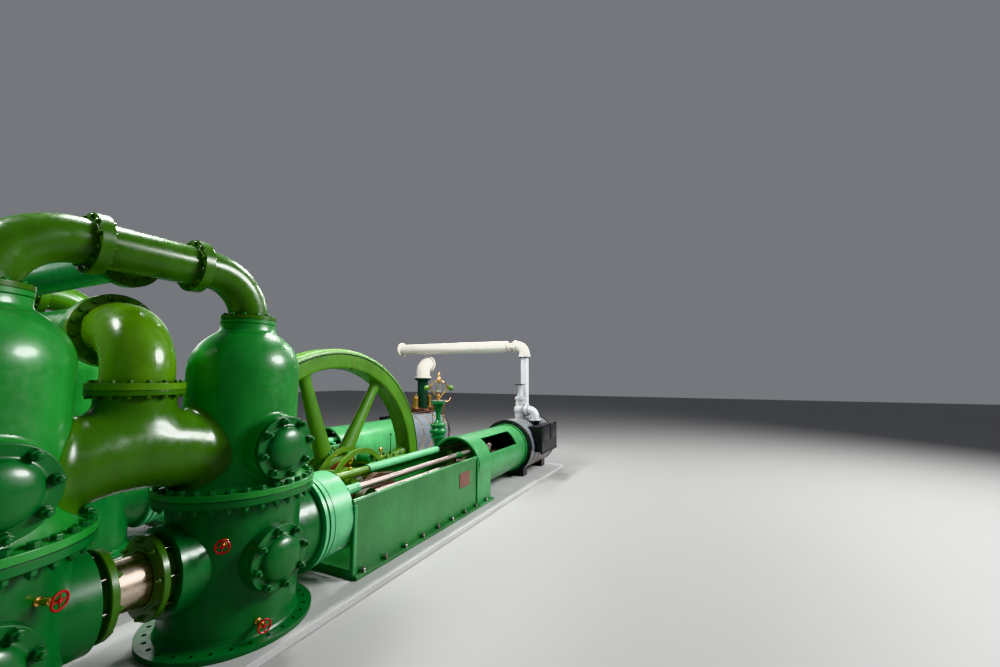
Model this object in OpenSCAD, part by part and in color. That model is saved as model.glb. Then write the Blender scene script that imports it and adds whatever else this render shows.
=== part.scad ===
/* [Layout] */
// Distance between the two engine lines
line_spacing = 4060; // [3600:20:5000]
// Height of the foundation blocks, from the wheel pit's floor to the engine room floor
pit_depth = 1800; // [1700:20:2400]
// Height of the cylinder and plunger axis above the engine room floor
axis_h = 830; // [800:10:1100]
// Width of each foundation block
block_w = 1960; // [1900:20:2200]
// Foundation left showing beyond the machine at each end
block_margin = 90; // [40:10:400]
// Distance from the right pump chamber's axis to the crankshaft
pump_to_shaft = 2670; // [2500:10:3200]

/* [Pump chambers] */
// Distance between the two chamber axes of one line
chamber_pitch = 2232; // [2150:2:2800]
// Radius of a chamber's foot flange
foot_r = 878; // [840:2:920]
// Thickness of the foot flange
foot_t = 52; // [30:2:90]
// Radius of the circle of foot bolt holes
foot_hole_circle_r = 787; // [775:1:800]
// Number of foot bolt holes on each chamber
foot_hole_count = 28; // [20:4:36]
// Diameter of a foot bolt hole
foot_hole_d = 46; // [20:2:60]
// Radius of the lower chamber
lower_r = 700; // [640:5:740]
// Height of the lower chamber above the floor, up to its joint with the dome
joint_h = 1545; // [1480:5:1800]
// Radius of the bolted joint's flanges
joint_r = 840; // [800:5:880]
// Thickness of each of the joint's two flanges
joint_t = 72; // [40:2:100]
// Radius of the air dome's straight wall
dome_r = 608; // [560:2:660]
// Height of the dome's rounded top
crown_h = 560; // [400:10:640]
// Radius of the dome's neck
neck_r = 250; // [220:2:280]
// Radius of the neck's flange
neck_flange_r = 310; // [300:2:360]
// Clearance between the arch pipe's flanges and the discharge elbow's below them
arch_gap = 72; // [40:2:160]

/* [Manholes] */
// Distance of a cover's seat from the chamber's axis
manhole_reach = 765; // [740:5:820]
// Radius of the manhole bosses and their covers
manhole_r = 350; // [310:5:365]
// Clearance between the chambers' joint and the upper manhole's boss
manhole_gap = 68; // [50:2:120]
// Thickness of a manhole cover's rim
cover_t = 44; // [25:1:70]
// Radius of the domed middle of a cover
cap_r = 215; // [150:5:240]
// Height of the domed middle
cap_h = 105; // [60:5:150]

/* [Plunger] */
// Radius of the pump plunger
plunger_r = 248; // [200:2:260]
// Radius of the plunger's drive rod
drive_rod_r = 82; // [60:2:100]
// Distance of a stuffing box's face from its chamber's axis
stuffing_reach = 805; // [780:5:830]
// Radius of the stuffing box bosses
stuffing_r = 452; // [420:2:480]
// Radius of the gland rings
gland_r = 408; // [380:2:430]
// Thickness of a gland ring
gland_t = 74; // [50:2:90]
// Gap between a gland ring and its stuffing box, where the studs show
gland_gap = 72; // [40:2:90]
// Running gap round the plunger
plunger_gap = 6; // [4:1:10]

/* [Pipes] */
// Radius of the arch pipe over each pair of domes
arch_r = 217; // [180:1:228]
// Radius of the arch pipe's two bends
arch_bend = 550; // [480:10:800]
// Radius of the arch pipe's flanges
arch_flange_r = 292; // [270:2:320]
// Thickness of one arch pipe flange
arch_flange_t = 50; // [30:1:70]
// Length of the straight pipe between the arch pipe's flanges
arch_tee_len = 900; // [700:10:1000]
// Radius of the breeches pipe's arms
breeches_r = 385; // [330:5:400]
// Clearance between the chambers' joint and the breeches pipe
breeches_gap = 98; // [80:2:140]
// Radius of the arch that the breeches pipe makes
breeches_bend = 1600; // [1400:20:2400]
// Radius of the discharge elbow
elbow_r = 300; // [240:5:310]
// Radius of the discharge elbow's flanges
elbow_flange_r = 396; // [360:2:410]
// Thickness of each flange of the discharge elbow
elbow_flange_t = 70; // [40:2:80]
// Distance from the breeches pipe's middle up to its joint with the elbow
elbow_neck_h = 610; // [560:5:700]
// Radius of the discharge elbow's bend
elbow_bend = 470; // [440:10:520]
// Length of the discharge elbow's upright below its bend
elbow_rise = 150; // [80:5:240]

/* [Crank and flywheel] */
// Radius of the crank circle, half the stroke
crank_r = 450; // [380:5:470]
// Length of a connecting rod between its pins
rod_len = 3200; // [3150:10:3400]
// Radius of a crank's boss round the shaft
crank_hub_r = 300; // [260:5:330]
// Radius of a crank's boss round its pin
crank_boss_r = 170; // [150:5:185]
// Length of a crank's tail past the shaft
crank_tail = 430; // [380:5:480]
// Thickness of a crank
crank_t = 130; // [100:5:150]
// Distance of a crank's face from its line's centre
crank_offset = 115; // [105:5:125]
// Radius of the crankshaft
shaft_r = 190; // [150:5:210]
// Outside radius of the flywheel
wheel_r = 2550; // [2200:10:2560]
// Depth of the flywheel's rim
rim_depth = 380; // [200:5:420]
// Width of the flywheel's rim
rim_w = 420; // [200:5:430]
// Distance of the flywheel's middle from the near line
wheel_offset = 1280; // [1270:2:1700]
// Number of spokes
spoke_count = 7; // [4:1:8]
// Turn of the first spoke above the line of the engine
spoke_turn = 7; // [0:1:50]
// Radius of the flywheel's hub
hub_r = 540; // [320:5:560]
// Length of the flywheel's hub
hub_len = 460; // [300:10:480]

/* [Frame and guide barrel] */
// Radius of the guide barrel
barrel_r = 630; // [620:5:680]
// Radius of the hood over the pump end
hood_r = 610; // [590:5:620]
// Thickness of the barrel's wall
barrel_wall = 30; // [20:1:40]
// Distance from the right chamber's axis to the hood's open end
hood_reach = 1330; // [1300:5:1400]
// Height of the frame's side walls above the floor
frame_h = 1045; // [1000:5:1060]
// Half the width of the frame over its side walls
frame_half_w = 600; // [590:2:620]
// Thickness of the frame's side walls
frame_wall = 46; // [30:2:60]
// Thickness of the frame's base
frame_base = 120; // [80:5:160]
// Distance from the crankshaft to the barrel's round mouth
barrel_start = 2425; // [2380:5:2450]
// Distance from the crankshaft to the barrel's flange at the cylinder
barrel_end = 5280; // [5200:10:5600]
// Radius of the barrel's end flange
barrel_flange_r = 665; // [650:5:740]
// Thickness of the barrel's end flange
barrel_flange_t = 70; // [40:2:90]
// Distance from the crankshaft to the opening in the barrel's outer flank
window_start = 3055; // [3000:5:3200]
// Length of the opening, along the piston rod
window_len = 1590; // [1400:10:1800]

/* [Side rods and crosshead] */
// Radius of a side rod
side_rod_r = 54; // [40:1:56]
// Sideways distance of each side rod from the line's centre
side_rod_y = 380; // [370:5:385]
// Height of the side rods above the cylinder axis
side_rod_z = 345; // [335:5:350]
// Distance from the right chamber's axis to the yoke at mid stroke
yoke_reach = 1355; // [1350:5:1450]
// Thickness of the yoke along the line
yoke_t = 120; // [80:5:130]
// Radius of the piston rod
piston_rod_r = 70; // [50:2:90]
// Length of the crosshead along the line
crosshead_len = 800; // [760:10:900]
// Reach of the side rods' ends past the crosshead's pin
side_rod_reach = 680; // [640:10:700]
// Radius of the crosshead's pin and of the crank pin
pin_r = 85; // [60:5:95]

/* [Steam cylinders] */
// Radius of the lagging round a steam cylinder
lagging_r = 750; // [720:10:800]
// Length of the lagging
lagging_len = 2100; // [1800:10:2400]
// Thickness of the lagging
lagging_t = 60; // [30:5:80]
// Radius of the cylinder's end flanges and covers
cylinder_flange_r = 765; // [755:5:820]
// Length of the cylinder's neck between barrel and lagging
cylinder_neck = 80; // [75:5:200]
// Thickness of the cylinder's covers
cylinder_cover_t = 130; // [80:5:180]

/* [Steam pipe] */
// Radius of the lagged steam pipe across the two lines
steam_r = 188; // [150:2:200]
// Radius of the bend at the steam pipe's near end
steam_bend = 270; // [240:5:320]
// Radius of the riser between the stop valve and the steam pipe
riser_r = 125; // [90:5:140]
// Height above the floor of the joint at the riser's top
riser_top_h = 3540; // [3400:10:3560]
// Distance from the cylinder's near end to the stop valve
valve_station = 980; // [800:10:1200]
// Height above the floor of the stop valve's middle
valve_h = 1820; // [1800:10:2000]
// Radius of the stop valve's body
valve_body_r = 190; // [180:5:215]
// Distance from the stop valve's middle to each of its side flanges
valve_reach = 240; // [230:5:300]
// Height of the stop valve's hand wheel above the valve's middle
valve_stem_h = 770; // [700:10:900]
// Radius of the stop valve's hand wheel
valve_wheel_r = 150; // [120:5:200]
// Reach of the steam pipe past the far line
steam_overrun = 940; // [600:20:960]
// Bore at the steam pipe's end
steam_bore_r = 90; // [60:5:100]
// Number of bolts in the steam pipe's end flange
outlet_bolts = 12; // [8:2:16]
// Distance from the far cylinder's near end to its riser
far_riser_station = 1460; // [1400:10:1600]
// Radius of the far cylinder's riser
far_riser_r = 185; // [150:5:200]
// Clearance between the far riser's elbow and the steam pipe above it
far_elbow_gap = 67; // [40:1:120]
// Length of the upright below the bend of the far riser's elbow
far_elbow_leg = 200; // [100:10:300]
// Length of the valve chests along the cylinders
chest_len = 1300; // [1100:10:1500]
// Height of the valve chests
chest_h = 720; // [600:10:800]
// Depth of the valve chests outside the lagging
chest_w = 170; // [120:5:200]

/* [Governor] */
// Distance from the crankshaft to the governor
governor_x = 3270; // [3200:10:3400]
// Distance of the governor from the near line
governor_y = 1030; // [1000:10:1200]
// Height of the governor's table above the floor
governor_table_h = 2236; // [2100:2:2400]
// Radius of the governor's foot
governor_r = 250; // [220:5:260]
// Height of the spindle above the table
spindle_h = 700; // [600:10:800]
// Radius of the governor balls' circle
ball_circle_r = 315; // [280:5:340]
// Radius of a governor ball
ball_r = 72; // [50:2:80]

/* [Hidden] */
$fn = 64;

// Stations along the line, from the overall length
total_len = 2 * block_margin + foot_r + chamber_pitch + pump_to_shaft + barrel_end
    + cylinder_neck + lagging_len + cylinder_cover_t;
left_x = -total_len / 2 + block_margin + foot_r;
right_x = left_x + chamber_pitch;
shaft_x = right_x + pump_to_shaft;
barrel_x = shaft_x + barrel_end;
lagging_x = barrel_x + cylinder_neck;
valve_x = lagging_x + valve_station;

// Levels above the pit floor
floor_z = pit_depth;
axis_z = floor_z + axis_h;
line_y = line_spacing / 2;

// Crank angles at rest, a quarter turn apart, and what follows from them
near_crank = 180;
far_crank = 90;
function stroke_offset(angle) = crank_r * cos(angle) + sqrt(rod_len * rod_len
    - pow(crank_r * sin(angle), 2)) - rod_len;
function rod_tilt(angle) = asin(crank_r * sin(angle) / rod_len);

// Running gap of rods, pins and journals in their bores, and of a slipper on its guide
rod_gap = 0.3;
// Gap between the crank pin's end and the crank
face_gap = 6;
// Room left at the end of a stroke
end_room = 30;
// Overlap of cutting shapes past the faces they cut
cut = 1;
// Facets of the round shapes that other shapes are cut to
fine = 180;

module near() translate([0, -line_y, 0]) children();
module far() mirror([0, 1, 0]) translate([0, -line_y, 0]) children();
module along_x(x, y, z) translate([x, y, z]) rotate([0, 90, 0]) children();
module outward(x, y, z) translate([x, y, z]) rotate([90, 0, 0]) children();
module inward(x, y, z) translate([x, y, z]) rotate([-90, 0, 0]) children();
module ring(outer, inner, len) difference() {
    cylinder(r = outer, h = len);
    translate([0, 0, -cut]) cylinder(r = inner, h = len + 2 * cut);
}

// Foundations
module foundation_block() {
    translate([-total_len / 2, -block_w / 2, 0]) cube([total_len, block_w, floor_z]);
}

// The near block has a pier on its inner side for the governor
pier_w = governor_r * 3.2;

module near_foundation() color("gainsboro") union() {
    near() foundation_block();
    translate([shaft_x + governor_x - pier_w / 2, -line_y + governor_y - governor_r, 0])
        cube([pier_w, governor_r * 2.2, floor_z]);
}

module far_foundation() color("gainsboro") far() foundation_block();

// Lower chambers
module foot_holes() {
    for (i = [0:foot_hole_count - 1])
        rotate(360 * (i + 0.5) / foot_hole_count)
            translate([foot_hole_circle_r, 0, -1]) cylinder(d = foot_hole_d, h = foot_t + 2);
}

module lower_vessel() difference() {
    rotate_extrude() polygon([
        [0, 0], [foot_r, 0], [foot_r, foot_t], [lower_r + 28, foot_t], [lower_r + 8, foot_t + 22],
        [lower_r, foot_t + 60], [lower_r, joint_h - joint_t - 60], [lower_r + 20, joint_h - joint_t - 20],
        [lower_r + 50, joint_h - joint_t], [joint_r, joint_h - joint_t], [joint_r, joint_h], [0, joint_h]
    ]);
    foot_holes();
}

// One lower chamber with its manhole boss and stuffing box. The gland_side is +1 where the
// plunger leaves to the right
module lower_chamber(x, gland_side) {
    travel = crank_r + end_room;
    difference() {
        union() {
            translate([x, 0, floor_z]) lower_vessel();
            outward(x, 0, axis_z) cylinder(r = manhole_r, h = manhole_reach);
            along_x(x + (gland_side > 0 ? 0 : -stuffing_reach), 0, axis_z)
                cylinder(r = stuffing_r, h = stuffing_reach);
            if (gland_side < 0) along_x(x, 0, axis_z) cylinder(r = hood_r - 40, h = stuffing_reach);
        }
        along_x(x + (gland_side > 0 ? -travel : -stuffing_reach - 1), 0, axis_z)
            cylinder(r = plunger_r + plunger_gap, h = travel + stuffing_reach + 1);
        if (gland_side < 0) along_x(x, 0, axis_z)
            cylinder(r = drive_rod_r + rod_gap, h = stuffing_reach + 1);
    }
}

module lower_chambers() {
    lower_chamber(left_x, 1);
    lower_chamber(right_x, -1);
}

module near_lower_chambers() color("seagreen") near() lower_chambers();
module far_lower_chambers() color("seagreen") far() lower_chambers();

// Air domes
dome_base_h = joint_h;
dome_steps = 8;
flare_h = 330;
flare_w = 118;
crown_end = acos(neck_r / dome_r);
upper_manhole_h = joint_h + joint_t + manhole_gap + manhole_r;
breeches_h = joint_h + joint_t + breeches_gap + breeches_r;
elbow_seat_h = breeches_h + elbow_neck_h;
cross_pipe_h = elbow_seat_h + elbow_rise + elbow_bend;
arch_h = cross_pipe_h + elbow_flange_r + arch_gap + arch_flange_r;
neck_h = arch_h - arch_bend;
shoulder_h = neck_h - 2 * arch_flange_t - crown_h * sin(crown_end) - flare_h / 15;

module dome_shell() rotate_extrude() polygon(concat(
    [[0, dome_base_h], [joint_r, dome_base_h], [joint_r, dome_base_h + joint_t]],
    [for (i = [0:dome_steps]) [dome_r + flare_w * pow(1 - i / dome_steps, 2.4),
        dome_base_h + joint_t + flare_h * i / dome_steps]],
    [for (i = [0:dome_steps]) [dome_r * cos(crown_end * i / dome_steps),
        shoulder_h + crown_h * sin(crown_end * i / dome_steps)]],
    [[neck_r, neck_h - arch_flange_t], [neck_flange_r, neck_h - arch_flange_t],
        [neck_flange_r, neck_h], [0, neck_h]]
));

module air_domes() {
    for (x = [left_x, right_x]) union() {
        translate([x, 0, floor_z]) dome_shell();
        outward(x, 0, floor_z + upper_manhole_h) cylinder(r = manhole_r, h = manhole_reach);
    }
}

module near_air_domes() color("mediumseagreen") near() air_domes();
module far_air_domes() color("mediumseagreen") far() air_domes();

// Manhole covers
cap_ball_r = (cap_r * cap_r + cap_h * cap_h) / (2 * cap_h);

module manhole_cover() {
    cylinder(r = manhole_r, h = cover_t);
    intersection() {
        translate([0, 0, cover_t + cap_h - cap_ball_r]) sphere(r = cap_ball_r);
        translate([0, 0, cover_t / 2]) cylinder(r = cap_r + 1, h = cap_h + cover_t);
    }
}

module manhole_covers() {
    for (x = [left_x, right_x], h = [axis_h, upper_manhole_h])
        outward(x, -manhole_reach, floor_z + h) manhole_cover();
}

module near_manhole_covers() color("forestgreen") near() manhole_covers();
module far_manhole_covers() color("forestgreen") far() manhole_covers();

// Glands that close the stuffing boxes round the plunger
follower_r = plunger_r + 52;

module plunger_glands() {
    for (side = [1, -1]) {
        x = side > 0 ? left_x + stuffing_reach : right_x - stuffing_reach;
        along_x(x, 0, axis_z) rotate([side > 0 ? 0 : 180, 0, 0]) difference() {
            union() {
                cylinder(r = follower_r, h = gland_gap + 1);
                translate([0, 0, gland_gap]) cylinder(r = gland_r, h = gland_t);
            }
            translate([0, 0, -1]) cylinder(r = plunger_r + rod_gap, h = gland_gap + gland_t + 2);
        }
    }
}

module near_plunger_glands() color("olivedrab") near() plunger_glands();
module far_plunger_glands() color("olivedrab") far() plunger_glands();

// Arch pipe between the tops of the domes
arch_tee_x = (left_x + right_x) / 2;
branch_r = arch_r * 0.9;
branch_len = 170;
branch_reach = arch_r + branch_len;

module quarter_bend(radius, pipe_r) rotate_extrude(angle = 90) translate([radius, 0]) circle(r = pipe_r);

// A bend that starts upward at the origin and ends level, facing inward
module inward_bend(radius, pipe_r) translate([0, radius, 0]) rotate([90, 0, -90])
    quarter_bend(radius, pipe_r);

module arch_pipe() {
    straight = chamber_pitch / 2 - arch_bend - arch_tee_len / 2;
    for (side = [-1, 1])
        translate([arch_tee_x, 0, 0]) mirror([side > 0 ? 0 : 1, 0, 0]) {
            translate([chamber_pitch / 2 - arch_bend, 0, floor_z + neck_h]) rotate([90, 0, 0])
                quarter_bend(arch_bend, arch_r);
            translate([arch_tee_len / 2, 0, floor_z + arch_h]) rotate([0, 90, 0])
                cylinder(r = arch_r, h = straight);
            translate([arch_tee_len / 2 - arch_flange_t, 0, floor_z + arch_h]) rotate([0, 90, 0])
                cylinder(r = arch_flange_r, h = 2 * arch_flange_t);
            translate([chamber_pitch / 2, 0, floor_z + neck_h])
                cylinder(r = neck_flange_r, h = arch_flange_t);
        }
    along_x(arch_tee_x - arch_tee_len / 2, 0, floor_z + arch_h) cylinder(r = arch_r, h = arch_tee_len);
    translate([arch_tee_x, 0, floor_z + arch_h]) rotate([-90, 0, 0]) {
        cylinder(r = branch_r, h = branch_reach);
        translate([0, 0, branch_reach - arch_flange_t]) cylinder(r = arch_flange_r, h = arch_flange_t);
    }
}

module near_arch_pipe() color("olivedrab") near() arch_pipe();
module far_arch_pipe() color("olivedrab") far() arch_pipe();

module arch_cross_pipe() color("mediumaquamarine") {
    reach = line_y - branch_reach;
    translate([arch_tee_x, -reach, floor_z + arch_h]) rotate([-90, 0, 0]) union() {
        cylinder(r = branch_r, h = 2 * reach);
        cylinder(r = arch_flange_r, h = arch_flange_t);
        translate([0, 0, 2 * reach - arch_flange_t]) cylinder(r = arch_flange_r, h = arch_flange_t);
    }
}

// Breeches pipe that arches between the two domes of a line, with a flared neck under the elbow
neck_flare = 60;
breeches_span = asin((chamber_pitch - dome_r) / 2 / breeches_bend);

module breeches_pipe() difference() {
    union() {
        translate([arch_tee_x, 0, floor_z + breeches_h - breeches_bend]) rotate([90, 0, 0])
            rotate(90 - breeches_span) rotate_extrude(angle = 2 * breeches_span, $fn = fine)
                translate([breeches_bend, 0]) circle(r = breeches_r, $fn = fine);
        translate([arch_tee_x, 0, floor_z]) rotate_extrude() polygon([
            [0, breeches_h], [elbow_r + neck_flare, breeches_h],
            [elbow_r + neck_flare, breeches_h + breeches_r * 0.7],
            [elbow_r + neck_flare * 0.4, breeches_h + breeches_r * 0.95],
            [elbow_r, elbow_seat_h - elbow_flange_t - neck_flare], [elbow_r, elbow_seat_h - elbow_flange_t],
            [elbow_flange_r, elbow_seat_h - elbow_flange_t], [elbow_flange_r, elbow_seat_h], [0, elbow_seat_h]
        ]);
    }
    for (x = [left_x, right_x]) translate([x, 0, floor_z]) dome_shell($fn = fine);
}

module near_breeches_pipe() color("olivedrab") near() breeches_pipe();
module far_breeches_pipe() color("olivedrab") far() breeches_pipe();

// Discharge elbow on the breeches pipe, turning inward
elbow_run = 60;
elbow_face_y = elbow_bend + elbow_run + elbow_flange_t;

module discharge_elbow() translate([arch_tee_x, 0, floor_z]) {
    translate([0, 0, elbow_seat_h]) cylinder(r = elbow_flange_r, h = elbow_flange_t);
    translate([0, 0, elbow_seat_h]) cylinder(r = elbow_r, h = elbow_rise);
    translate([0, 0, elbow_seat_h + elbow_rise]) inward_bend(elbow_bend, elbow_r);
    inward(0, elbow_bend, cross_pipe_h) {
        cylinder(r = elbow_r, h = elbow_run);
        translate([0, 0, elbow_run]) cylinder(r = elbow_flange_r, h = elbow_flange_t);
    }
}

module near_discharge_elbow() color("olivedrab") near() discharge_elbow();
module far_discharge_elbow() color("olivedrab") far() discharge_elbow();

module discharge_cross_pipe() color("mediumseagreen") {
    reach = line_y - elbow_face_y;
    inward(arch_tee_x, -reach, floor_z + cross_pipe_h) union() {
        cylinder(r = elbow_r, h = 2 * reach);
        cylinder(r = elbow_flange_r, h = elbow_flange_t);
        translate([0, 0, 2 * reach - elbow_flange_t]) cylinder(r = elbow_flange_r, h = elbow_flange_t);
    }
}

// Distance piece between pump and frame, with the ringed joint and the round hood
piece_x = right_x + stuffing_reach;
hood_x = right_x + hood_reach;
hood_floor = 30;
piece_ring_t = 50;

module distance_piece() difference() {
    union() {
        along_x(piece_x, 0, axis_z) cylinder(r = hood_r, h = hood_x - piece_x);
        for (i = [0:2])
            along_x(piece_x + 1.8 * piece_ring_t * i, 0, axis_z)
                cylinder(r = hood_r + barrel_wall * (1 - 0.4 * i), h = piece_ring_t);
    }
    along_x(piece_x + hood_floor, 0, axis_z) cylinder(r = hood_r - barrel_wall, h = hood_x - piece_x);
    along_x(piece_x - cut, 0, axis_z) cylinder(r = drive_rod_r + rod_gap, h = hood_floor + 2 * cut);
}

module near_distance_piece() color("mediumseagreen") near() distance_piece();
module far_distance_piece() color("mediumseagreen") far() distance_piece();

// Main frame, an open trough round the crank, with the bearing's bracket on its inner side
frame_x = hood_x;
frame_end_x = shaft_x + barrel_start;
frame_len = frame_end_x - frame_x;
foot_flange_w = 90;
bead_r = 42;
bearing_w = 760;
bearing_y0 = 478;
bearing_y1 = 960;
bracket_rise = 360;
bracket_h = axis_h + bracket_rise;
bracket_left = bearing_w / 2 + 120;
bracket_right = 1435;
guard_r = 700;
guard_t = 85;

module trough() difference() {
    union() {
        translate([frame_x, -frame_half_w, floor_z]) cube([frame_len, 2 * frame_half_w, frame_h]);
        translate([frame_x, -frame_half_w - foot_flange_w, floor_z])
            cube([frame_len, 2 * (frame_half_w + foot_flange_w), foot_t]);
        for (side = [-1, 1])
            along_x(frame_x, side * (frame_half_w - bead_r), floor_z + frame_h)
                cylinder(r = bead_r, h = frame_len);
    }
    translate([frame_x - cut, -frame_half_w + frame_wall, floor_z + frame_base])
        cube([frame_len + 2 * cut, 2 * (frame_half_w - frame_wall), frame_h]);
}

// Half hoop that guards the crank, standing on the frame's wall or bracket
module crank_guard(y) intersection() {
    outward(shaft_x, y + frame_wall, axis_z) ring(guard_r, guard_r - guard_t, frame_wall);
    translate([shaft_x - guard_r, y, floor_z + frame_h - bead_r])
        cube([2 * guard_r, frame_wall, 2 * guard_r]);
}

module main_frame() {
    difference() {
        union() {
            trough();
            translate([shaft_x - bracket_left, frame_half_w - frame_wall / 2, floor_z])
                cube([bracket_left + bracket_right, bearing_y1 - frame_half_w + frame_wall / 2, bracket_h]);
        }
        translate([shaft_x - bearing_w / 2, bearing_y0, floor_z + frame_base])
            cube([bearing_w, bearing_y1 - bearing_y0 + cut, bracket_h]);
    }
    crank_guard(frame_half_w - frame_wall);
    crank_guard(bearing_y1 - frame_wall);
}

module near_main_frame() color("seagreen") near() main_frame();
module far_main_frame() color("seagreen") far() main_frame();

// Guide barrel that carries the crosshead between frame and cylinder
barrel_foot_len = window_start - barrel_start;
window_h = 340;
window_sill = 200;
window_y = 160;

module guide_barrel() difference() {
    union() {
        along_x(frame_end_x, 0, axis_z) cylinder(r = barrel_r, h = barrel_x - frame_end_x);
        translate([frame_end_x, -frame_half_w, floor_z]) cube([barrel_foot_len, 2 * frame_half_w, axis_h]);
        translate([frame_end_x, -frame_half_w - foot_flange_w, floor_z])
            cube([barrel_foot_len, 2 * (frame_half_w + foot_flange_w), foot_t]);
        along_x(barrel_x - barrel_flange_t, 0, axis_z) cylinder(r = barrel_flange_r, h = barrel_flange_t);
    }
    along_x(frame_end_x - cut, 0, axis_z)
        cylinder(r = barrel_r - barrel_wall, h = barrel_x - frame_end_x + 2 * cut);
    translate([shaft_x + window_start, -barrel_r - window_y, axis_z + window_sill])
        cube([window_len, barrel_r, window_h]);
}

module near_guide_barrel() color("mediumseagreen") near() guide_barrel();
module far_guide_barrel() color("mediumseagreen") far() guide_barrel();

// Steam cylinders
core_r = lagging_r - lagging_t;
end_flange_t = 60;
cylinder_foot_len = 300;
cylinder_foot_w = core_r * 1.3;
cylinder_foot_gap = 120;

module cylinder_feet()
    for (x = [cylinder_foot_gap, lagging_len - cylinder_foot_gap - cylinder_foot_len])
        translate([lagging_x + x, -cylinder_foot_w / 2, floor_z])
            cube([cylinder_foot_len, cylinder_foot_w, axis_h * 0.7]);

module steam_cylinder() difference() {
    union() {
        along_x(barrel_x, 0, axis_z) cylinder(r = barrel_r - barrel_wall, h = cylinder_neck);
        along_x(lagging_x - end_flange_t, 0, axis_z) cylinder(r = cylinder_flange_r, h = end_flange_t);
        along_x(lagging_x, 0, axis_z) cylinder(r = core_r, h = lagging_len);
        along_x(lagging_x + lagging_len, 0, axis_z) cylinder(r = cylinder_flange_r, h = end_flange_t);
        along_x(lagging_x + lagging_len, 0, axis_z)
            cylinder(r = cylinder_flange_r * 0.8, h = cylinder_cover_t);
        cylinder_feet();
    }
    along_x(barrel_x - cut, 0, axis_z)
        cylinder(r = piston_rod_r + rod_gap, h = cylinder_neck + 2 * crank_r + 10 * end_room);
}

module near_steam_cylinder() color("dimgray") near() steam_cylinder();
module far_steam_cylinder() color("dimgray") far() steam_cylinder();

// Sheet lagging, with holes where the pipe at pipe_x and the feet pass through
module cylinder_lagging(pipe_x, pipe_r) difference() {
    along_x(lagging_x, 0, axis_z) ring(lagging_r, core_r, lagging_len);
    cylinder_feet();
    translate([pipe_x, 0, axis_z]) cylinder(r = pipe_r, h = lagging_r + cut);
}

far_riser_x = lagging_x + far_riser_station;
module near_cylinder_lagging() color("lightslategray") near() cylinder_lagging(valve_x, valve_neck_r);
module far_cylinder_lagging() color("lightslategray") far() cylinder_lagging(far_riser_x, far_riser_r);

// Valve chest on the outer side of each cylinder, seated on its lagging
chest_z = axis_z + core_r * 0.82 - chest_h;
chest_lid_t = 45;

// The chest with its lid; what is given with it is cut to the lagging too
module valve_chest() difference() {
    union() {
        children();
        translate([valve_x - chest_len / 2, -lagging_r - chest_w, chest_z])
            cube([chest_len, lagging_r, chest_h]);
        translate([valve_x - chest_len / 2, -lagging_r - chest_w, chest_z])
            translate([-chest_lid_t, -chest_lid_t, -chest_lid_t])
                cube([chest_len + 2 * chest_lid_t, chest_lid_t, chest_h + 2 * chest_lid_t]);
    }
    along_x(lagging_x, 0, axis_z) cylinder(r = lagging_r, h = lagging_len, $fn = fine);
}

// Neck on the near chest that takes the stop valve's outlet
module chest_neck() {
    translate([valve_x, -outlet_drop_y, axis_z]) cylinder(r = outlet_r, h = outlet_seat_h - axis_h);
    translate([valve_x, -outlet_drop_y, floor_z + outlet_seat_h - steam_flange_t])
        cylinder(r = outlet_flange_w + outlet_r, h = steam_flange_t);
}

module near_valve_chest() color("dimgray") near() valve_chest() chest_neck();
module far_valve_chest() color("dimgray") far() valve_chest();

// Plunger and its drive rod
module plunger(offset) {
    along_x(left_x + offset, 0, axis_z) cylinder(r = plunger_r, h = chamber_pitch);
    along_x(right_x + offset - cut, 0, axis_z) cylinder(r = drive_rod_r, h = yoke_reach - yoke_t / 2 + cut);
}

module near_plunger() color("silver") near() plunger(stroke_offset(near_crank));
module far_plunger() color("silver") far() plunger(stroke_offset(far_crank));

// Side rods with the yoke that takes the plunger's drive rod
crosshead_x = shaft_x + rod_len;
rod_eye_r = side_rod_r + 4;
yoke_beam_h = 90;
yoke_post_w = 240;

module side_rods(offset) {
    yoke_x = right_x + yoke_reach + offset;
    beam_half_w = side_rod_y - side_rod_r + 10;
    for (side = [-1, 1])
        translate([yoke_x - yoke_t / 2, side * side_rod_y, axis_z + side_rod_z]) rotate([0, 90, 0]) {
            cylinder(r = side_rod_r, h = crosshead_x + side_rod_reach + offset - yoke_x + yoke_t / 2);
            cylinder(r = rod_eye_r, h = yoke_t);
        }
    translate([yoke_x - yoke_t / 2, -beam_half_w, axis_z + side_rod_z - yoke_beam_h * 2 / 3])
        cube([yoke_t, 2 * beam_half_w, yoke_beam_h]);
    translate([yoke_x - yoke_t / 2, -yoke_post_w / 2, axis_z - yoke_post_w / 2])
        cube([yoke_t, yoke_post_w, yoke_post_w / 2 + side_rod_z]);
}

module near_side_rods() color("rosybrown") near() side_rods(stroke_offset(near_crank));
module far_side_rods() color("rosybrown") far() side_rods(stroke_offset(far_crank));

// Crosshead with its shoe, cheeks, arms for the side rods, pin and piston rod
big_end_r = 165;
small_end_r = 150;
rod_eye_w = 190;
crosshead_back = 250;
shoe_w = 460;
cheek_y = rod_eye_w / 2 + 25;
cheek_t = 150;
cheek_h = 600;
arm_len = 180;
arm_z = 120;
end_block_t = 90;
piston_reach = barrel_x - crosshead_x + cylinder_neck + crank_r + end_room;

module crosshead_body(x) intersection() {
    along_x(x - crosshead_back, 0, axis_z) cylinder(r = barrel_r - barrel_wall - rod_gap, h = crosshead_len);
    union() {
        translate([x - crosshead_back, -shoe_w / 2, axis_z - barrel_r])
            cube([crosshead_len, shoe_w, barrel_r - small_end_r - 10]);
        for (y = [cheek_y, -cheek_y - cheek_t])
            translate([x - crosshead_back, y, axis_z - cheek_h / 2]) cube([crosshead_len, cheek_t, cheek_h]);
    }
}

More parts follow.
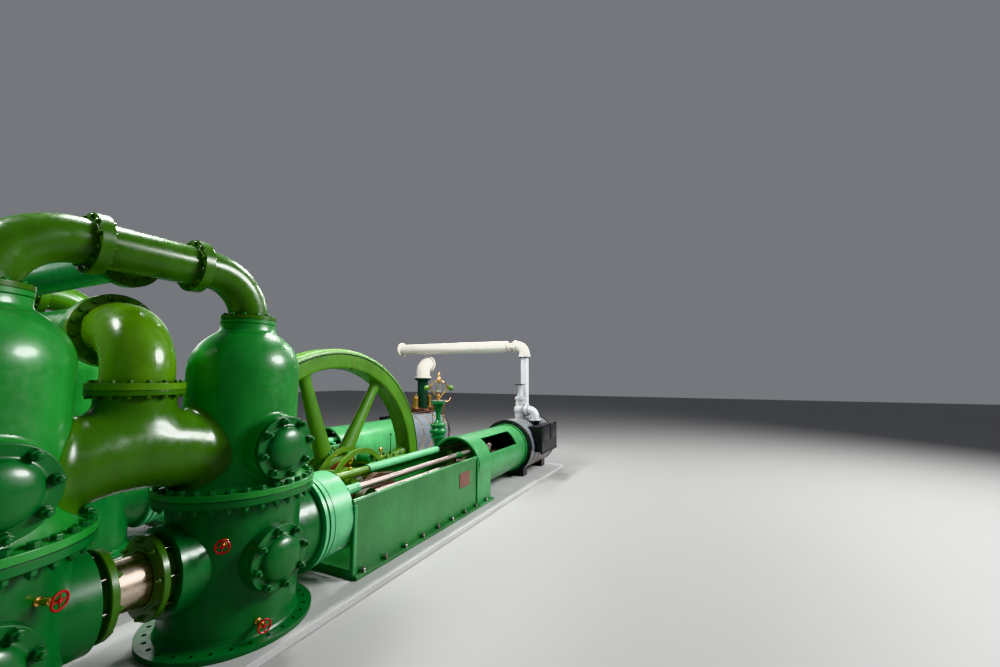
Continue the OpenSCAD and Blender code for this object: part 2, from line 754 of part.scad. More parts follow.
module crosshead(offset) {
    x = crosshead_x + offset;
    end_x = x + crosshead_len - crosshead_back - end_block_t;
    cheek_out = cheek_y + cheek_t;
    arm_out = side_rod_y + rod_eye_r;
    difference() {
        union() {
            crosshead_body(x);
            translate([end_x, -cheek_out, axis_z - small_end_r])
                cube([end_block_t, 2 * cheek_out, 2 * small_end_r]);
            along_x(end_x, 0, axis_z) cylinder(r = piston_rod_r, h = x + piston_reach - end_x);
            for (side = [-1, 1])
                translate([end_x, side > 0 ? cheek_y : -arm_out, axis_z + arm_z])
                    cube([arm_len, arm_out - cheek_y, side_rod_z - arm_z]);
        }
        for (side = [-1, 1])
            along_x(x, side * side_rod_y, axis_z + side_rod_z) cylinder(r = side_rod_r, h = crosshead_len);
    }
    outward(x, cheek_out, axis_z) cylinder(r = pin_r, h = 2 * cheek_out);
}

module near_crosshead() color("darkgray") near() crosshead(stroke_offset(near_crank));
module far_crosshead() color("darkgray") far() crosshead(stroke_offset(far_crank));

// Connecting rod, drawn along +X from its crank end, with the crank pin in its big end
crank_pin_r = pin_r - 5;
shank_r1 = 90;
shank_r2 = 75;

module rod_eye(eye_r) inward(0, -rod_eye_w / 2, 0) cylinder(r = eye_r, h = rod_eye_w);

module connecting_rod() {
    difference() {
        union() {
            rod_eye(big_end_r);
            translate([rod_len, 0, 0]) rod_eye(small_end_r);
            rotate([0, 90, 0]) cylinder(r1 = shank_r1, r2 = shank_r2, h = rod_len);
        }
        inward(rod_len, -rod_eye_w, 0) cylinder(r = pin_r + rod_gap, h = 2 * rod_eye_w);
    }
    rotate([-90, 0, 0]) cylinder(r = crank_pin_r, h = crank_offset - face_gap);
}

module placed_rod(angle) {
    translate([shaft_x + crank_r * cos(angle), 0, axis_z + crank_r * sin(angle)])
        rotate([0, rod_tilt(angle), 0]) connecting_rod();
}

module near_connecting_rod() color("silver") near() placed_rod(near_crank);
module far_connecting_rod() color("silver") far() placed_rod(far_crank);

// Cranks at the ends of the shaft, each with a tail on the other side from its pin
web_taper = 0.95;
web_tail_w = crank_hub_r * 0.8;

module crank_web(angle) translate([shaft_x, crank_offset, axis_z])
    rotate([0, -angle, 0]) rotate([-90, 0, 0]) difference() {
        union() {
            linear_extrude(crank_t) polygon([
                [crank_r, crank_boss_r * web_taper], [0, crank_hub_r * web_taper],
                [-crank_tail, web_tail_w], [-crank_tail, -web_tail_w],
                [0, -crank_hub_r * web_taper], [crank_r, -crank_boss_r * web_taper]
            ]);
            cylinder(r = crank_hub_r, h = crank_t);
            translate([crank_r, 0, 0]) cylinder(r = crank_boss_r, h = crank_t);
        }
        translate([0, 0, crank_t / 2]) cylinder(r = shaft_r, h = crank_t);
    }

module near_crank_web() color("sienna") near() crank_web(near_crank);
module far_crank_web() color("sienna") far() crank_web(far_crank);

// Crankshaft
module crankshaft() color("lightgray") {
    reach = line_y - crank_offset - crank_t / 2;
    inward(shaft_x, -reach, axis_z) cylinder(r = shaft_r, h = 2 * reach);
}

// Main bearings, one in the bracket on the inner side of each frame
bearing_cap_r = shaft_r + 140;
bearing_shoulder_h = 110;

module main_bearing() difference() {
    union() {
        translate([shaft_x - bearing_w / 2, bearing_y0, floor_z + frame_base])
            cube([bearing_w, bearing_y1 - bearing_y0, axis_h - frame_base + bearing_shoulder_h]);
        inward(shaft_x, bearing_y0, axis_z) cylinder(r = bearing_cap_r, h = bearing_y1 - bearing_y0);
    }
    inward(shaft_x, bearing_y0 - cut, axis_z)
        cylinder(r = shaft_r + rod_gap, h = bearing_y1 - bearing_y0 + 2 * cut);
}

module main_bearings() color("olivedrab") {
    near() main_bearing();
    far() main_bearing();
}

// Flywheel
wheel_y = wheel_offset - line_y;
rim_inner_r = wheel_r - rim_depth;
spoke_r1 = 170;
spoke_r2 = 115;
spoke_seat = 40;

module flywheel() color("yellowgreen") translate([shaft_x, wheel_y, axis_z]) rotate([90, 0, 0]) difference() {
    union() {
        translate([0, 0, -rim_w / 2]) ring(wheel_r, rim_inner_r, rim_w);
        translate([0, 0, -hub_len / 2]) cylinder(r = hub_r, h = hub_len);
        for (i = [0:spoke_count - 1])
            rotate(spoke_turn + 360 * i / spoke_count) along_x(hub_r - spoke_seat, 0, 0)
                cylinder(r1 = spoke_r1, r2 = spoke_r2, h = rim_inner_r - hub_r + 2 * spoke_seat);
    }
    translate([0, 0, -hub_len]) cylinder(r = shaft_r, h = 2 * hub_len);
}

// Stop valve on the near cylinder, with the inlet on its right and the outlet toward the chest
steam_flange_t = 40;
valve_bend = 160;
outlet_r = 130;
outlet_bend = 200;
outlet_drop_y = 500;
outlet_seat_h = axis_h + lagging_r - 60;
outlet_flange_w = 55;
valve_neck_r = valve_body_r - 25;
bonnet_r = 140;
bonnet_h = 320;
bonnet_flange_r = 165;
yoke_r1 = 92;
yoke_r2 = 55;
yoke_base_h = 620;
yoke_top_h = 740;
stem_r = 24;
valve_z = floor_z + valve_h;
wheel_seat = valve_stem_h;
riser_x = valve_x + valve_reach + valve_bend;

// Lets a vertical pipe seat on a cylinder's round top
module on_cylinder() difference() {
    children();
    along_x(lagging_x, 0, axis_z) cylinder(r = core_r, h = lagging_len);
}

module stop_valve() color("lightgray") near() {
    on_cylinder() translate([valve_x, 0, axis_z]) cylinder(r = valve_neck_r, h = valve_z - axis_z);
    translate([valve_x, 0, valve_z]) {
        sphere(r = valve_body_r);
        rotate([0, 90, 0]) cylinder(r = riser_r, h = valve_reach);
        translate([valve_reach - steam_flange_t, 0, 0]) rotate([0, 90, 0])
            cylinder(r = riser_r + 65, h = steam_flange_t);
        rotate([90, 0, 0]) cylinder(r = outlet_r, h = valve_reach);
        translate([0, -valve_reach + steam_flange_t, 0]) rotate([90, 0, 0])
            cylinder(r = outlet_r + outlet_flange_w, h = steam_flange_t);
        rotate_extrude() polygon([
            [0, 0], [bonnet_r, 0], [bonnet_r, bonnet_h], [bonnet_flange_r, bonnet_h],
            [bonnet_flange_r, bonnet_h + 2 * steam_flange_t], [yoke_r1, bonnet_h + 2 * steam_flange_t],
            [yoke_r2, yoke_base_h], [yoke_r2, yoke_top_h], [stem_r, yoke_top_h], [stem_r, wheel_seat],
            [0, wheel_seat]
        ]);
    }
}

module stop_valve_outlet() color("lightgray") near() translate([valve_x, 0, 0]) {
    translate([0, -valve_reach, valve_z]) rotate([90, 0, 0]) {
        cylinder(r = outlet_r + outlet_flange_w, h = steam_flange_t);
        cylinder(r = outlet_r, h = outlet_drop_y - outlet_bend - valve_reach);
    }
    translate([0, outlet_bend - outlet_drop_y, valve_z - outlet_bend]) rotate([90, 0, -90])
        quarter_bend(outlet_bend, outlet_r);
    translate([0, -outlet_drop_y, floor_z + outlet_seat_h]) {
        cylinder(r = outlet_r, h = valve_h - outlet_bend - outlet_seat_h);
        cylinder(r = outlet_r + outlet_flange_w, h = steam_flange_t);
    }
}

module stop_valve_wheel() color("black") translate([valve_x, -line_y, valve_z + wheel_seat]) {
    translate([0, 0, 20]) rotate_extrude() translate([valve_wheel_r, 0]) circle(r = 16);
    cylinder(r = 40, h = 40);
    for (i = [0:4])
        rotate(72 * i) translate([0, 0, 20]) rotate([0, 90, 0]) cylinder(r = 11, h = valve_wheel_r);
}

// Steam pipe from the stop valve up and across both lines, in three lengths
riser_flange_r = riser_r + 65;
elbow_pipe_r = 168;
steam_h = riser_top_h + steam_flange_t + steam_bend;
steam_z = floor_z + steam_h;
steam_start_y = -line_y + steam_bend + steam_flange_t;
steam_end_y = line_y + steam_overrun;
steam_len = steam_end_y - steam_start_y;
joint_neck_r = 120;
joint_neck_len = 300;
outlet_flange_r = steam_r + 70;
outlet_flange_t = 50;
outlet_circle_r = steam_r + 40;
outlet_hole_r = 11;
outlet_bore_len = 200;

module steam_riser() color("gainsboro") translate([riser_x, -line_y, 0]) {
    translate([-valve_bend, 0, valve_z]) rotate([0, 90, 0]) cylinder(r = riser_flange_r, h = steam_flange_t);
    translate([-valve_bend, 0, valve_z + valve_bend]) mirror([0, 0, 1]) rotate([90, 0, 0])
        quarter_bend(valve_bend, riser_r);
    translate([0, 0, valve_z + valve_bend]) cylinder(r = riser_r, h = riser_top_h - valve_h - valve_bend);
    translate([0, 0, floor_z + riser_top_h - steam_flange_t])
        cylinder(r = riser_flange_r, h = steam_flange_t);
}

module steam_elbow() color("whitesmoke") translate([riser_x, -line_y, floor_z + riser_top_h]) {
    cylinder(r = riser_flange_r, h = steam_flange_t);
    translate([0, 0, steam_flange_t]) inward_bend(steam_bend, elbow_pipe_r);
    inward(0, steam_bend, steam_bend + steam_flange_t) cylinder(r = riser_flange_r, h = steam_flange_t);
}

module outlet_bolt_holes()
    for (i = [0:outlet_bolts - 1])
        rotate(360 * i / outlet_bolts) translate([outlet_circle_r, 0, 0])
            cylinder(r = outlet_hole_r, h = outlet_flange_t + cut);

module steam_pipe() color("whitesmoke") difference() {
    inward(riser_x, steam_start_y, steam_z) union() {
        cylinder(r = riser_flange_r, h = steam_flange_t);
        cylinder(r = joint_neck_r, h = joint_neck_len + cut);
        translate([0, 0, joint_neck_len]) cylinder(r = steam_r, h = steam_len - joint_neck_len);
        translate([0, 0, steam_len - outlet_flange_t]) cylinder(r = outlet_flange_r, h = outlet_flange_t);
    }
    outward(riser_x, steam_end_y + cut, steam_z) {
        cylinder(r = steam_bore_r, h = outlet_bore_len);
        outlet_bolt_holes();
    }
}

// Riser of the far cylinder, with its lagged elbow
far_flange_r = far_riser_r + 110;
far_flange_t = 60;
far_elbow_r = 240;
far_elbow_bend = 300;
far_elbow_h = steam_h - steam_r - far_elbow_gap - far_flange_r;
far_riser_top_h = far_elbow_h - far_elbow_bend - far_elbow_leg;

module far_steam_riser() color("darkslategray") far() {
    on_cylinder() translate([far_riser_x, 0, axis_z])
        cylinder(r = far_riser_r, h = far_riser_top_h - axis_h);
    translate([far_riser_x, 0, floor_z + far_riser_top_h - far_flange_t])
        cylinder(r = far_flange_r, h = far_flange_t);
}

module far_riser_elbow() color("whitesmoke") far() translate([far_riser_x, 0, floor_z]) {
    translate([0, 0, far_riser_top_h]) {
        cylinder(r = far_flange_r, h = far_flange_t);
        cylinder(r = far_elbow_r, h = far_elbow_leg);
    }
    translate([far_elbow_bend, 0, far_elbow_h - far_elbow_bend]) mirror([1, 0, 0]) rotate([90, 0, 0])
        quarter_bend(far_elbow_bend, far_elbow_r);
    along_x(far_elbow_bend, 0, far_elbow_h) cylinder(r = far_flange_r, h = far_flange_t);
}

// Governor
column_h = 604;
bowl_h = 367;
bowl_foot_h = 157;
bowl_rim_h = governor_table_h - column_h;
bowl_base_h = bowl_rim_h - bowl_h;
stand_neck_h = bowl_base_h - bowl_foot_h;
bowl_r = 177;
stand_neck_r = 95;
column_r = 62;
table_r = 190;
table_t = 70;
table_flare_h = 130;
foot_plate_t = 60;

module governor_at(z) translate([shaft_x + governor_x, -line_y + governor_y, z]) children();

module governor_stand() color("forestgreen") governor_at(floor_z) rotate_extrude() polygon([
    [0, 0], [governor_r, 0], [governor_r, foot_plate_t], [governor_r * 0.72, foot_plate_t * 1.6],
    [bowl_r * 0.85, stand_neck_h / 3], [stand_neck_r, stand_neck_h], [bowl_r * 0.8, bowl_base_h - 40],
    [bowl_r, bowl_base_h + 30], [bowl_r, bowl_rim_h - 92], [bowl_r + 7, bowl_rim_h - 92],
    [bowl_r + 7, bowl_rim_h], [column_r + 20, bowl_rim_h + 30], [column_r, bowl_rim_h + 70],
    [column_r, governor_table_h - table_flare_h], [table_r, governor_table_h - table_t],
    [table_r, governor_table_h], [0, governor_table_h]
]);

spindle_r = 24;
collar_r = 55;
sleeve_h = 170;
ball_h = 315;
pivot_drop = 180;
pivot_h = spindle_h - pivot_drop;
link_share = 0.7;
link_r = 13;
ball_turn = -65;
tip_r = 40;

// A round link between two points of the spindle's plane, each given as [distance, height]
module link(from, to) translate([from[0], 0, from[1]])
    rotate([0, atan2(to[0] - from[0], to[1] - from[1]), 0])
        cylinder(r = link_r, h = norm([to[0] - from[0], to[1] - from[1]]), $fn = 32);

module governor_spinner() color("goldenrod") governor_at(floor_z + governor_table_h + rod_gap)
    rotate(ball_turn) {
        rotate_extrude() polygon([
            [0, 0], [collar_r, 0], [collar_r, sleeve_h], [2 * collar_r, sleeve_h],
            [2 * spindle_r, pivot_h - collar_r], [collar_r, pivot_h - collar_r],
            [collar_r, pivot_h + spindle_r], [spindle_r, pivot_h + spindle_r], [spindle_r, spindle_h],
            [tip_r, spindle_h], [tip_r / 3, spindle_h + tip_r], [0, spindle_h + tip_r]
        ]);
        for (side = [-1, 1]) {
            translate([side * ball_circle_r, 0, ball_h]) rotate(90) sphere(r = ball_r, $fn = 32);
            link([0, pivot_h], [side * ball_circle_r, ball_h]);
            link([0, sleeve_h / 2],
                [side * ball_circle_r * link_share, pivot_h + (ball_h - pivot_h) * link_share]);
        }
    }

near_foundation();
far_foundation();
near_lower_chambers();
far_lower_chambers();
near_air_domes();
far_air_domes();
near_manhole_covers();
far_manhole_covers();
near_plunger_glands();
far_plunger_glands();
near_arch_pipe();
far_arch_pipe();
near_breeches_pipe();
far_breeches_pipe();
near_discharge_elbow();
far_discharge_elbow();
near_distance_piece();
far_distance_piece();
near_main_frame();
far_main_frame();
near_guide_barrel();
far_guide_barrel();
near_steam_cylinder();
far_steam_cylinder();
near_cylinder_lagging();
far_cylinder_lagging();
near_valve_chest();
far_valve_chest();
near_plunger();
far_plunger();
near_side_rods();
far_side_rods();
near_crosshead();
far_crosshead();
near_connecting_rod();
far_connecting_rod();
near_crank_web();
far_crank_web();
main_bearings();
crankshaft();
flywheel();
arch_cross_pipe();
discharge_cross_pipe();
steam_riser();
steam_elbow();
steam_pipe();
far_steam_riser();
far_riser_elbow();
stop_valve();
stop_valve_outlet();
stop_valve_wheel();
governor_stand();
governor_spinner();
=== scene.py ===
"""Looks of a horizontal two-line steam pumping engine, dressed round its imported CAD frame."""

import logging
import math
from dataclasses import dataclass, field
from enum import Enum
from typing import Callable, Sequence

import bmesh
import bpy
import numpy as np
from mathutils import Matrix, Vector


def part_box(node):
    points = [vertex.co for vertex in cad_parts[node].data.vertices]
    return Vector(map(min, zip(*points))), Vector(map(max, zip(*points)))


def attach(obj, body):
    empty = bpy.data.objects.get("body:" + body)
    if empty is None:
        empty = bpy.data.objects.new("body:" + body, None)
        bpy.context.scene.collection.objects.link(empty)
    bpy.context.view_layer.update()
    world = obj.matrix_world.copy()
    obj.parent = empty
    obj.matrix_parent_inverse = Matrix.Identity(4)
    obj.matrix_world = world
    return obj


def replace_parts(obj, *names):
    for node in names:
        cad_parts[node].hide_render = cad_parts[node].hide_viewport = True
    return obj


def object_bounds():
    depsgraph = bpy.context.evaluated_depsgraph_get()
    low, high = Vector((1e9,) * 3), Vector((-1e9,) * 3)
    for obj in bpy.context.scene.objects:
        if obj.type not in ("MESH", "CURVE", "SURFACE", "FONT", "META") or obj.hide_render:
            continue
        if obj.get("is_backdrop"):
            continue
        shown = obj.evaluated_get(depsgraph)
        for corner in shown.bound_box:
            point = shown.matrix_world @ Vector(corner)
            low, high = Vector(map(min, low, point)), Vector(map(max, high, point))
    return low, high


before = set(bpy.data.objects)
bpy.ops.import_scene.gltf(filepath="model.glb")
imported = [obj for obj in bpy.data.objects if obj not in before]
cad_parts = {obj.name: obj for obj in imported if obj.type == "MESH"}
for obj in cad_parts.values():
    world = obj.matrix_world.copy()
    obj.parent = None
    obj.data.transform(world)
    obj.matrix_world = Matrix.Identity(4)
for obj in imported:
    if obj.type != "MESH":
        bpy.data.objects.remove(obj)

CAD_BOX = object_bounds()
LOG = logging.getLogger("pumping_engine")

Point = tuple[float, float, float]
Profile = Sequence[tuple[float, float]]
Colour = tuple[float, float, float]
Field = Callable[[np.ndarray], np.ndarray]

FLOOR = 1.80
AXIS = 2.63


class Hex(Enum):
    """What a bolt shows above the face it clamps."""

    HEAD = "head"
    NUT = "nut on a stud"


class Side(Enum):
    """The two engine lines; the value is the way outward along Y."""

    NEAR = -1
    FAR = 1

    @property
    def word(self) -> str:
        """The line's word in node and body names."""
        return self.name.lower()

    def y(self, out: float) -> float:
        """World Y of a point that lies `out` metres outward of the line's centre."""
        return self.value * (LINE_Y + out)

    def between(self, out: float, other: float) -> list[float]:
        """The y values of two distances from the line's centre, the lower one first."""
        return sorted((self.y(out), self.y(other)))


LINE_Y = abs(sum(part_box("near_cylinder_lagging")[i].y for i in (0, 1)) / 2)


def middle(node: str) -> Vector:
    """Centre of a CAD node's box."""
    low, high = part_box(node)
    return (low + high) / 2


def towards(origin: Sequence[float], axis: Sequence[float], turn: float = 0.0) -> Matrix:
    """A place whose Z runs along an axis.

    Args:
        origin: Where the place is.
        axis: Direction of its Z.
        turn: Turn about that Z, in degrees.

    Returns:
        The matrix that takes local points there.
    """
    facing = Vector(axis).to_track_quat("Z", "Y").to_matrix().to_4x4()
    return Matrix.Translation(Vector(origin)) @ facing @ Matrix.Rotation(math.radians(turn), 4, "Z")


# Finishes


class Wiring:
    """Adds and joins the nodes of one material."""

    def __init__(self, name: str) -> None:
        """Starts an empty material with its output and shader.

        Args:
            name: The material's name.
        """
        self.material = bpy.data.materials.new(name)
        self.material.use_nodes = True
        self.tree = self.material.node_tree
        self.tree.nodes.clear()
        self.output = self.tree.nodes.new("ShaderNodeOutputMaterial")
        self.shader = self.tree.nodes.new("ShaderNodeBsdfPrincipled")
        self.tree.links.new(self.shader.outputs[0], self.output.inputs[0])
        self.place = self.tree.nodes.new("ShaderNodeTexCoord").outputs["Object"]

    def node(self, kind: str, **values: object) -> bpy.types.Node:
        """Adds a node and sets its sockets, by name, from numbers or from other sockets.

        Args:
            kind: Blender's type of the node.
            **values: Socket names, with underscores for spaces, and what they take.

        Returns:
            The node.
        """
        made = self.tree.nodes.new(kind)
        for name, value in values.items():
            self.put(made.inputs[name.replace("_", " ")], value)
        return made

    def put(self, socket: bpy.types.NodeSocket, value: object) -> None:
        """Links a socket to another, or sets its value.

        Args:
            socket: The input that is set.
            value: Another node's output, or a plain value.
        """
        if isinstance(value, bpy.types.NodeSocket):
            self.tree.links.new(value, socket)
        else:
            socket.default_value = value

    def noise(self, scale: float, detail: float = 4.0, stretch: Point = (1, 1, 1)) -> bpy.types.NodeSocket:
        """Noise of a scale in features per metre, stretched along the axes."""
        mapped = self.node("ShaderNodeMapping", Vector=self.place, Scale=stretch).outputs[0]
        return self.node("ShaderNodeTexNoise", Vector=mapped, Scale=scale, Detail=detail).outputs[0]

    def span(self, value: bpy.types.NodeSocket, low: float, high: float,
             start: float = 0.3, end: float = 0.7) -> bpy.types.NodeSocket:
        """Maps a value between start and end to the range from low to high.

        Args:
            value: The value that is mapped.
            low: Result at start.
            high: Result at end.
            start: Where the mapped range starts.
            end: Where it ends.

        Returns:
            The result's socket.
        """
        made = self.node("ShaderNodeMapRange", Value=value)
        for name, number in (("From Min", start), ("From Max", end), ("To Min", low), ("To Max", high)):
            made.inputs[name].default_value = number
        return made.outputs[0]

    def blend(self, share: object, first: object, second: object) -> bpy.types.NodeSocket:
        """Mixes two colours.

        Args:
            share: How much of the second, from 0 to 1.
            first: Colour at share 0.
            second: Colour at share 1.

        Returns:
            The mixed colour's socket.
        """
        mix = self.tree.nodes.new("ShaderNodeMix")
        mix.data_type = "RGBA"
        for socket, value in ((mix.inputs[0], share), (mix.inputs[6], first), (mix.inputs[7], second)):
            self.put(socket, (*value, 1.0) if isinstance(value, tuple) else value)
        return mix.outputs[2]

    def relief(self, heights: Sequence[tuple[bpy.types.NodeSocket, float, float]],
               edge: float) -> bpy.types.NodeSocket:
        """Stacks bumps on softened edges.

        Args:
            heights: Height socket, strength and depth in metres of each bump.
            edge: Radius to which edges are softened.

        Returns:
            The normal's socket.
        """
        bevel = self.node("ShaderNodeBevel", Radius=edge)
        bevel.samples = 4
        normal = bevel.outputs[0]
        for height, strength, depth in heights:
            normal = self.node("ShaderNodeBump", Height=height, Strength=strength, Distance=depth,
                               Normal=normal).outputs[0]
        return normal

    def within(self, low: Point, high: Point) -> bpy.types.NodeSocket:
        """1 where a point lies between two corners, on either side of the engine, else 0.

        Args:
            low: Lowest corner.
            high: Highest corner.

        Returns:
            The answer's socket.
        """
        split = self.node("ShaderNodeSeparateXYZ", Vector=self.place)
        share = None
        for axis in range(3):
            value = split.outputs[axis]
            if axis == 1:
                value = self.math("ABSOLUTE", value, 0.0)
            above = self.math("GREATER_THAN", value, low[axis])
            below = self.math("LESS_THAN", value, high[axis])
            here = self.math("MULTIPLY", above, below)
            share = here if share is None else self.math("MULTIPLY", share, here)
        return share

    def math(self, kind: str, first: object, second: object) -> bpy.types.NodeSocket:
        """One sum of two values.

        Args:
            kind: Blender's name of the operation.
            first: Its first value.
            second: Its second value.

        Returns:
            The result's socket.
        """
        made = self.tree.nodes.new("ShaderNodeMath")
        made.operation = kind
        self.put(made.inputs[0], first)
        self.put(made.inputs[1], second)
        return made.outputs[0]

    def corner_shade(self, reach: float) -> bpy.types.NodeSocket:
        """How open a point is, from 0 in a corner to 1 on a free face, for painting shade into corners.

        Args:
            reach: How far the corner's walls may stand, in metres.

        Returns:
            The answer's socket.
        """
        shade = self.node("ShaderNodeAmbientOcclusion", Distance=reach)
        shade.samples = 4
        return shade.outputs["AO"]


def shaded(colour: Colour, factor: float) -> Colour:
    """A colour made lighter or darker."""
    return tuple(min(1.0, c * factor) for c in colour)


@dataclass(frozen=True)
class Enamel:
    """Gloss enamel brushed over cast iron.

    Attributes:
        name: The finish's name.
        colour: Linear colour of the paint.
        roughness: Roughness of the dry paint.
        coat: Weight of the clear gloss.
        casting: Strength of the casting's unevenness.
        edge: Radius to which edges look softened.
        corner_shade: Share of painted shade, darkening in the corners.
        trim: Linear colour of a part painted otherwise.
        trim_from: Lowest corner of that part.
        trim_to: Its highest corner.
    """

    name: str
    colour: Colour
    roughness: float = 0.34
    coat: float = 0.25
    casting: float = 0.22
    edge: float = 0.010
    corner_shade: float = 0.60
    trim: Colour | None = None
    trim_from: Point = (0, 0, 0)
    trim_to: Point = (0, 0, 0)

    def material(self) -> bpy.types.Material:
        """Builds the paint with its mottling, painted shade in the corners and brushed unevenness.

        Returns:
            The finished material.
        """
        w = Wiring(self.name)
        cloud = w.span(w.noise(1.7, 5), 0, 1)
        streak = w.span(w.noise(9, 3, (1, 1, 0.15)), 0, 1)
        base = w.blend(cloud, shaded(self.colour, 0.80), shaded(self.colour, 1.18))
        if self.trim:
            other = w.blend(cloud, shaded(self.trim, 0.80), shaded(self.trim, 1.18))
            base = w.blend(w.within(self.trim_from, self.trim_to), base, other)
        base = w.blend(w.span(streak, 0, 0.35), base, w.blend(0.3, base, (0.0, 0.0, 0.0)))
        # Painted shade: the paint turns towards a dark copy of its colour where ambient occlusion finds a corner or
        # crease.
        corner = w.span(w.corner_shade(0.10), self.corner_shade, 0.0, 0.25, 0.85)
        w.put(w.shader.inputs["Base Color"], w.blend(corner, base, shaded(self.colour, 0.16)))
        w.put(w.shader.inputs["Roughness"],
              w.span(w.noise(14, 4), self.roughness - 0.07, self.roughness + 0.10))
        w.shader.inputs["Coat Weight"].default_value = self.coat
        w.shader.inputs["Coat Roughness"].default_value = 0.16
        relief = [(w.noise(5, 3), self.casting, 0.006), (w.noise(160, 2), 0.05, 0.002)]
        w.put(w.shader.inputs["Normal"], w.relief(relief, self.edge))
        return w.material


@dataclass(frozen=True)
class BrightMetal:
    """Machined or polished metal.

    Attributes:
        name: The finish's name.
        colour: Linear colour of the metal.
        roughness: Roughness of the clean metal.
        turning: Strength of the tool marks.
        along: Stretch of the marks along the axes.
        stain: Colour of the oil stains.
        staining: How strongly the stains show.
    """

    name: str
    colour: Colour
    roughness: float = 0.22
    turning: float = 0.10
    along: Point = (6, 1, 1)
    stain: Colour = (0.10, 0.06, 0.03)
    staining: float = 0.10

    def material(self) -> bpy.types.Material:
        """Builds the metal with its tool marks and oil stains.

        Returns:
            The finished material.
        """
        w = Wiring(self.name)
        marks = w.noise(9, 3, self.along)
        stains = w.span(w.noise(2.0, 3), 0, self.staining, 0.45, 0.75)
        tone = w.blend(w.span(marks, 0, 1), shaded(self.colour, 0.93), shaded(self.colour, 1.06))
        w.put(w.shader.inputs["Base Color"], w.blend(stains, tone, self.stain))
        w.shader.inputs["Metallic"].default_value = 1.0
        w.put(w.shader.inputs["Roughness"], w.span(w.noise(12, 2), self.roughness - 0.02, self.roughness + 0.06))
        w.put(w.shader.inputs["Normal"], w.relief([(marks, self.turning, 0.001)], 0.004))
        return w.material


@dataclass(frozen=True)
class Lagging:
    """Painted covering round a pipe or a cylinder.

    Attributes:
        name: The finish's name.
        colour: Linear colour of the paint.
        roughness: Roughness of the paint.
        wrinkle: Depth of the cloth's or sheet's unevenness in metres.
        metal: Metallic share, above 0 for a bare sheet.
    """

    name: str
    colour: Colour
    roughness: float = 0.45
    wrinkle: float = 0.006
    metal: float = 0.0

    def material(self) -> bpy.types.Material:
        """Builds the covering with soft dents and dust.

        Returns:
            The finished material.
        """
        w = Wiring(self.name)
        dust = w.span(w.noise(1.4, 3), 0, 0.4)
        w.put(w.shader.inputs["Base Color"],
              w.blend(dust, shaded(self.colour, 1.05), shaded(self.colour, 0.80)))
        w.shader.inputs["Metallic"].default_value = self.metal
        w.put(w.shader.inputs["Roughness"], w.span(w.noise(3, 2), self.roughness - 0.03, self.roughness + 0.06))
        relief = [(w.noise(3.2, 3), 0.5, self.wrinkle), (w.noise(420, 2), 0.06, 0.001)]
        w.put(w.shader.inputs["Normal"], w.relief(relief, 0.008))
        return w.material


@dataclass(frozen=True)
class Masonry:
    """Smooth painted concrete.

    Attributes:
        name: The finish's name.
        colour: Linear colour of the surface.
        clouds: How strongly lighter and darker patches show.
    """

    name: str
    colour: Colour
    clouds: float = 1.0

    def material(self) -> bpy.types.Material:
        """Builds the concrete with its clouds, pores and scuffs.

        Returns:
            The finished material.
        """
        w = Wiring(self.name)
        cloud = w.span(w.noise(0.9, 7), 0, 1)
        spots = w.span(w.noise(26, 5), 0, 0.35 * self.clouds, 0.58, 0.72)
        tone = w.blend(cloud, shaded(self.colour, 1 - 0.14 * self.clouds), shaded(self.colour, 1 + 0.08 * self.clouds))
        w.put(w.shader.inputs["Base Color"], w.blend(spots, tone, shaded(self.colour, 0.6)))
        w.put(w.shader.inputs["Roughness"], w.span(w.noise(4, 4), 0.60 - 0.18 * self.clouds, 0.60 + 0.15 * self.clouds))
        w.put(w.shader.inputs["Normal"], w.relief([(w.noise(60, 6), 0.25, 0.003)], 0.012))
        return w.material


CHAMBER_GREEN = Enamel("chamber_green", (0.008, 0.110, 0.020))
DOME_GREEN = Enamel("dome_green", (0.030, 0.215, 0.040))
COVER_GREEN = Enamel("cover_green", (0.013, 0.120, 0.024))
GLAND_GREEN = Enamel("gland_green", (0.040, 0.120, 0.012))
PIPE_GREEN = Enamel("pipe_green", (0.036, 0.115, 0.008), roughness=0.28, coat=0.15)
# Painted light: a lighter, yellower copy of the pipe paint on the discharge elbow, standing in for the highlight on the
# elbow's front.
LIT_ELBOW_GREEN = Enamel("lit_elbow_green", (0.085, 0.210, 0.015), roughness=0.26)
FRAME_GREEN = Enamel("frame_green", (0.056, 0.265, 0.086))
BEDPLATE_GREEN = Enamel("bedplate_green", (0.036, 0.175, 0.048), trim=(0.095, 0.210, 0.020),
                        trim_from=(-2.0, 0.9, FLOOR + 1.186), trim_to=(0.6, 1.55, FLOOR + 1.9))
MINT_GREEN = Enamel("mint_green", (0.120, 0.420, 0.190))
CROSS_GREEN = Enamel("cross_green", (0.014, 0.150, 0.042), coat=0.10)
BEARING_GREEN = Enamel("bearing_green", (0.085, 0.190, 0.018))
WHEEL_GREEN = Enamel("wheel_green", (0.080, 0.220, 0.020), roughness=0.42, coat=0.12)
GOVERNOR_GREEN = Enamel("governor_green", (0.020, 0.170, 0.050), casting=0.1, edge=0.006)
RISER_GREEN = Enamel("riser_green", (0.006, 0.026, 0.014))
CRANK_BROWN = Enamel("crank_brown", (0.210, 0.055, 0.022), roughness=0.5, coat=0.1)
PLATE_RED = Enamel("plate_red", (0.170, 0.075, 0.055), roughness=0.5, coat=0.1)
CRANK_DARK = Enamel("crank_dark", (0.070, 0.034, 0.020), roughness=0.45, coat=0.15)
WHEEL_RED = Enamel("hand_wheel_red", (0.420, 0.012, 0.020), casting=0.05, edge=0.003, corner_shade=0.3)
BLACK_IRON = Enamel("black_iron", (0.016, 0.016, 0.018), roughness=0.38, coat=0.25)
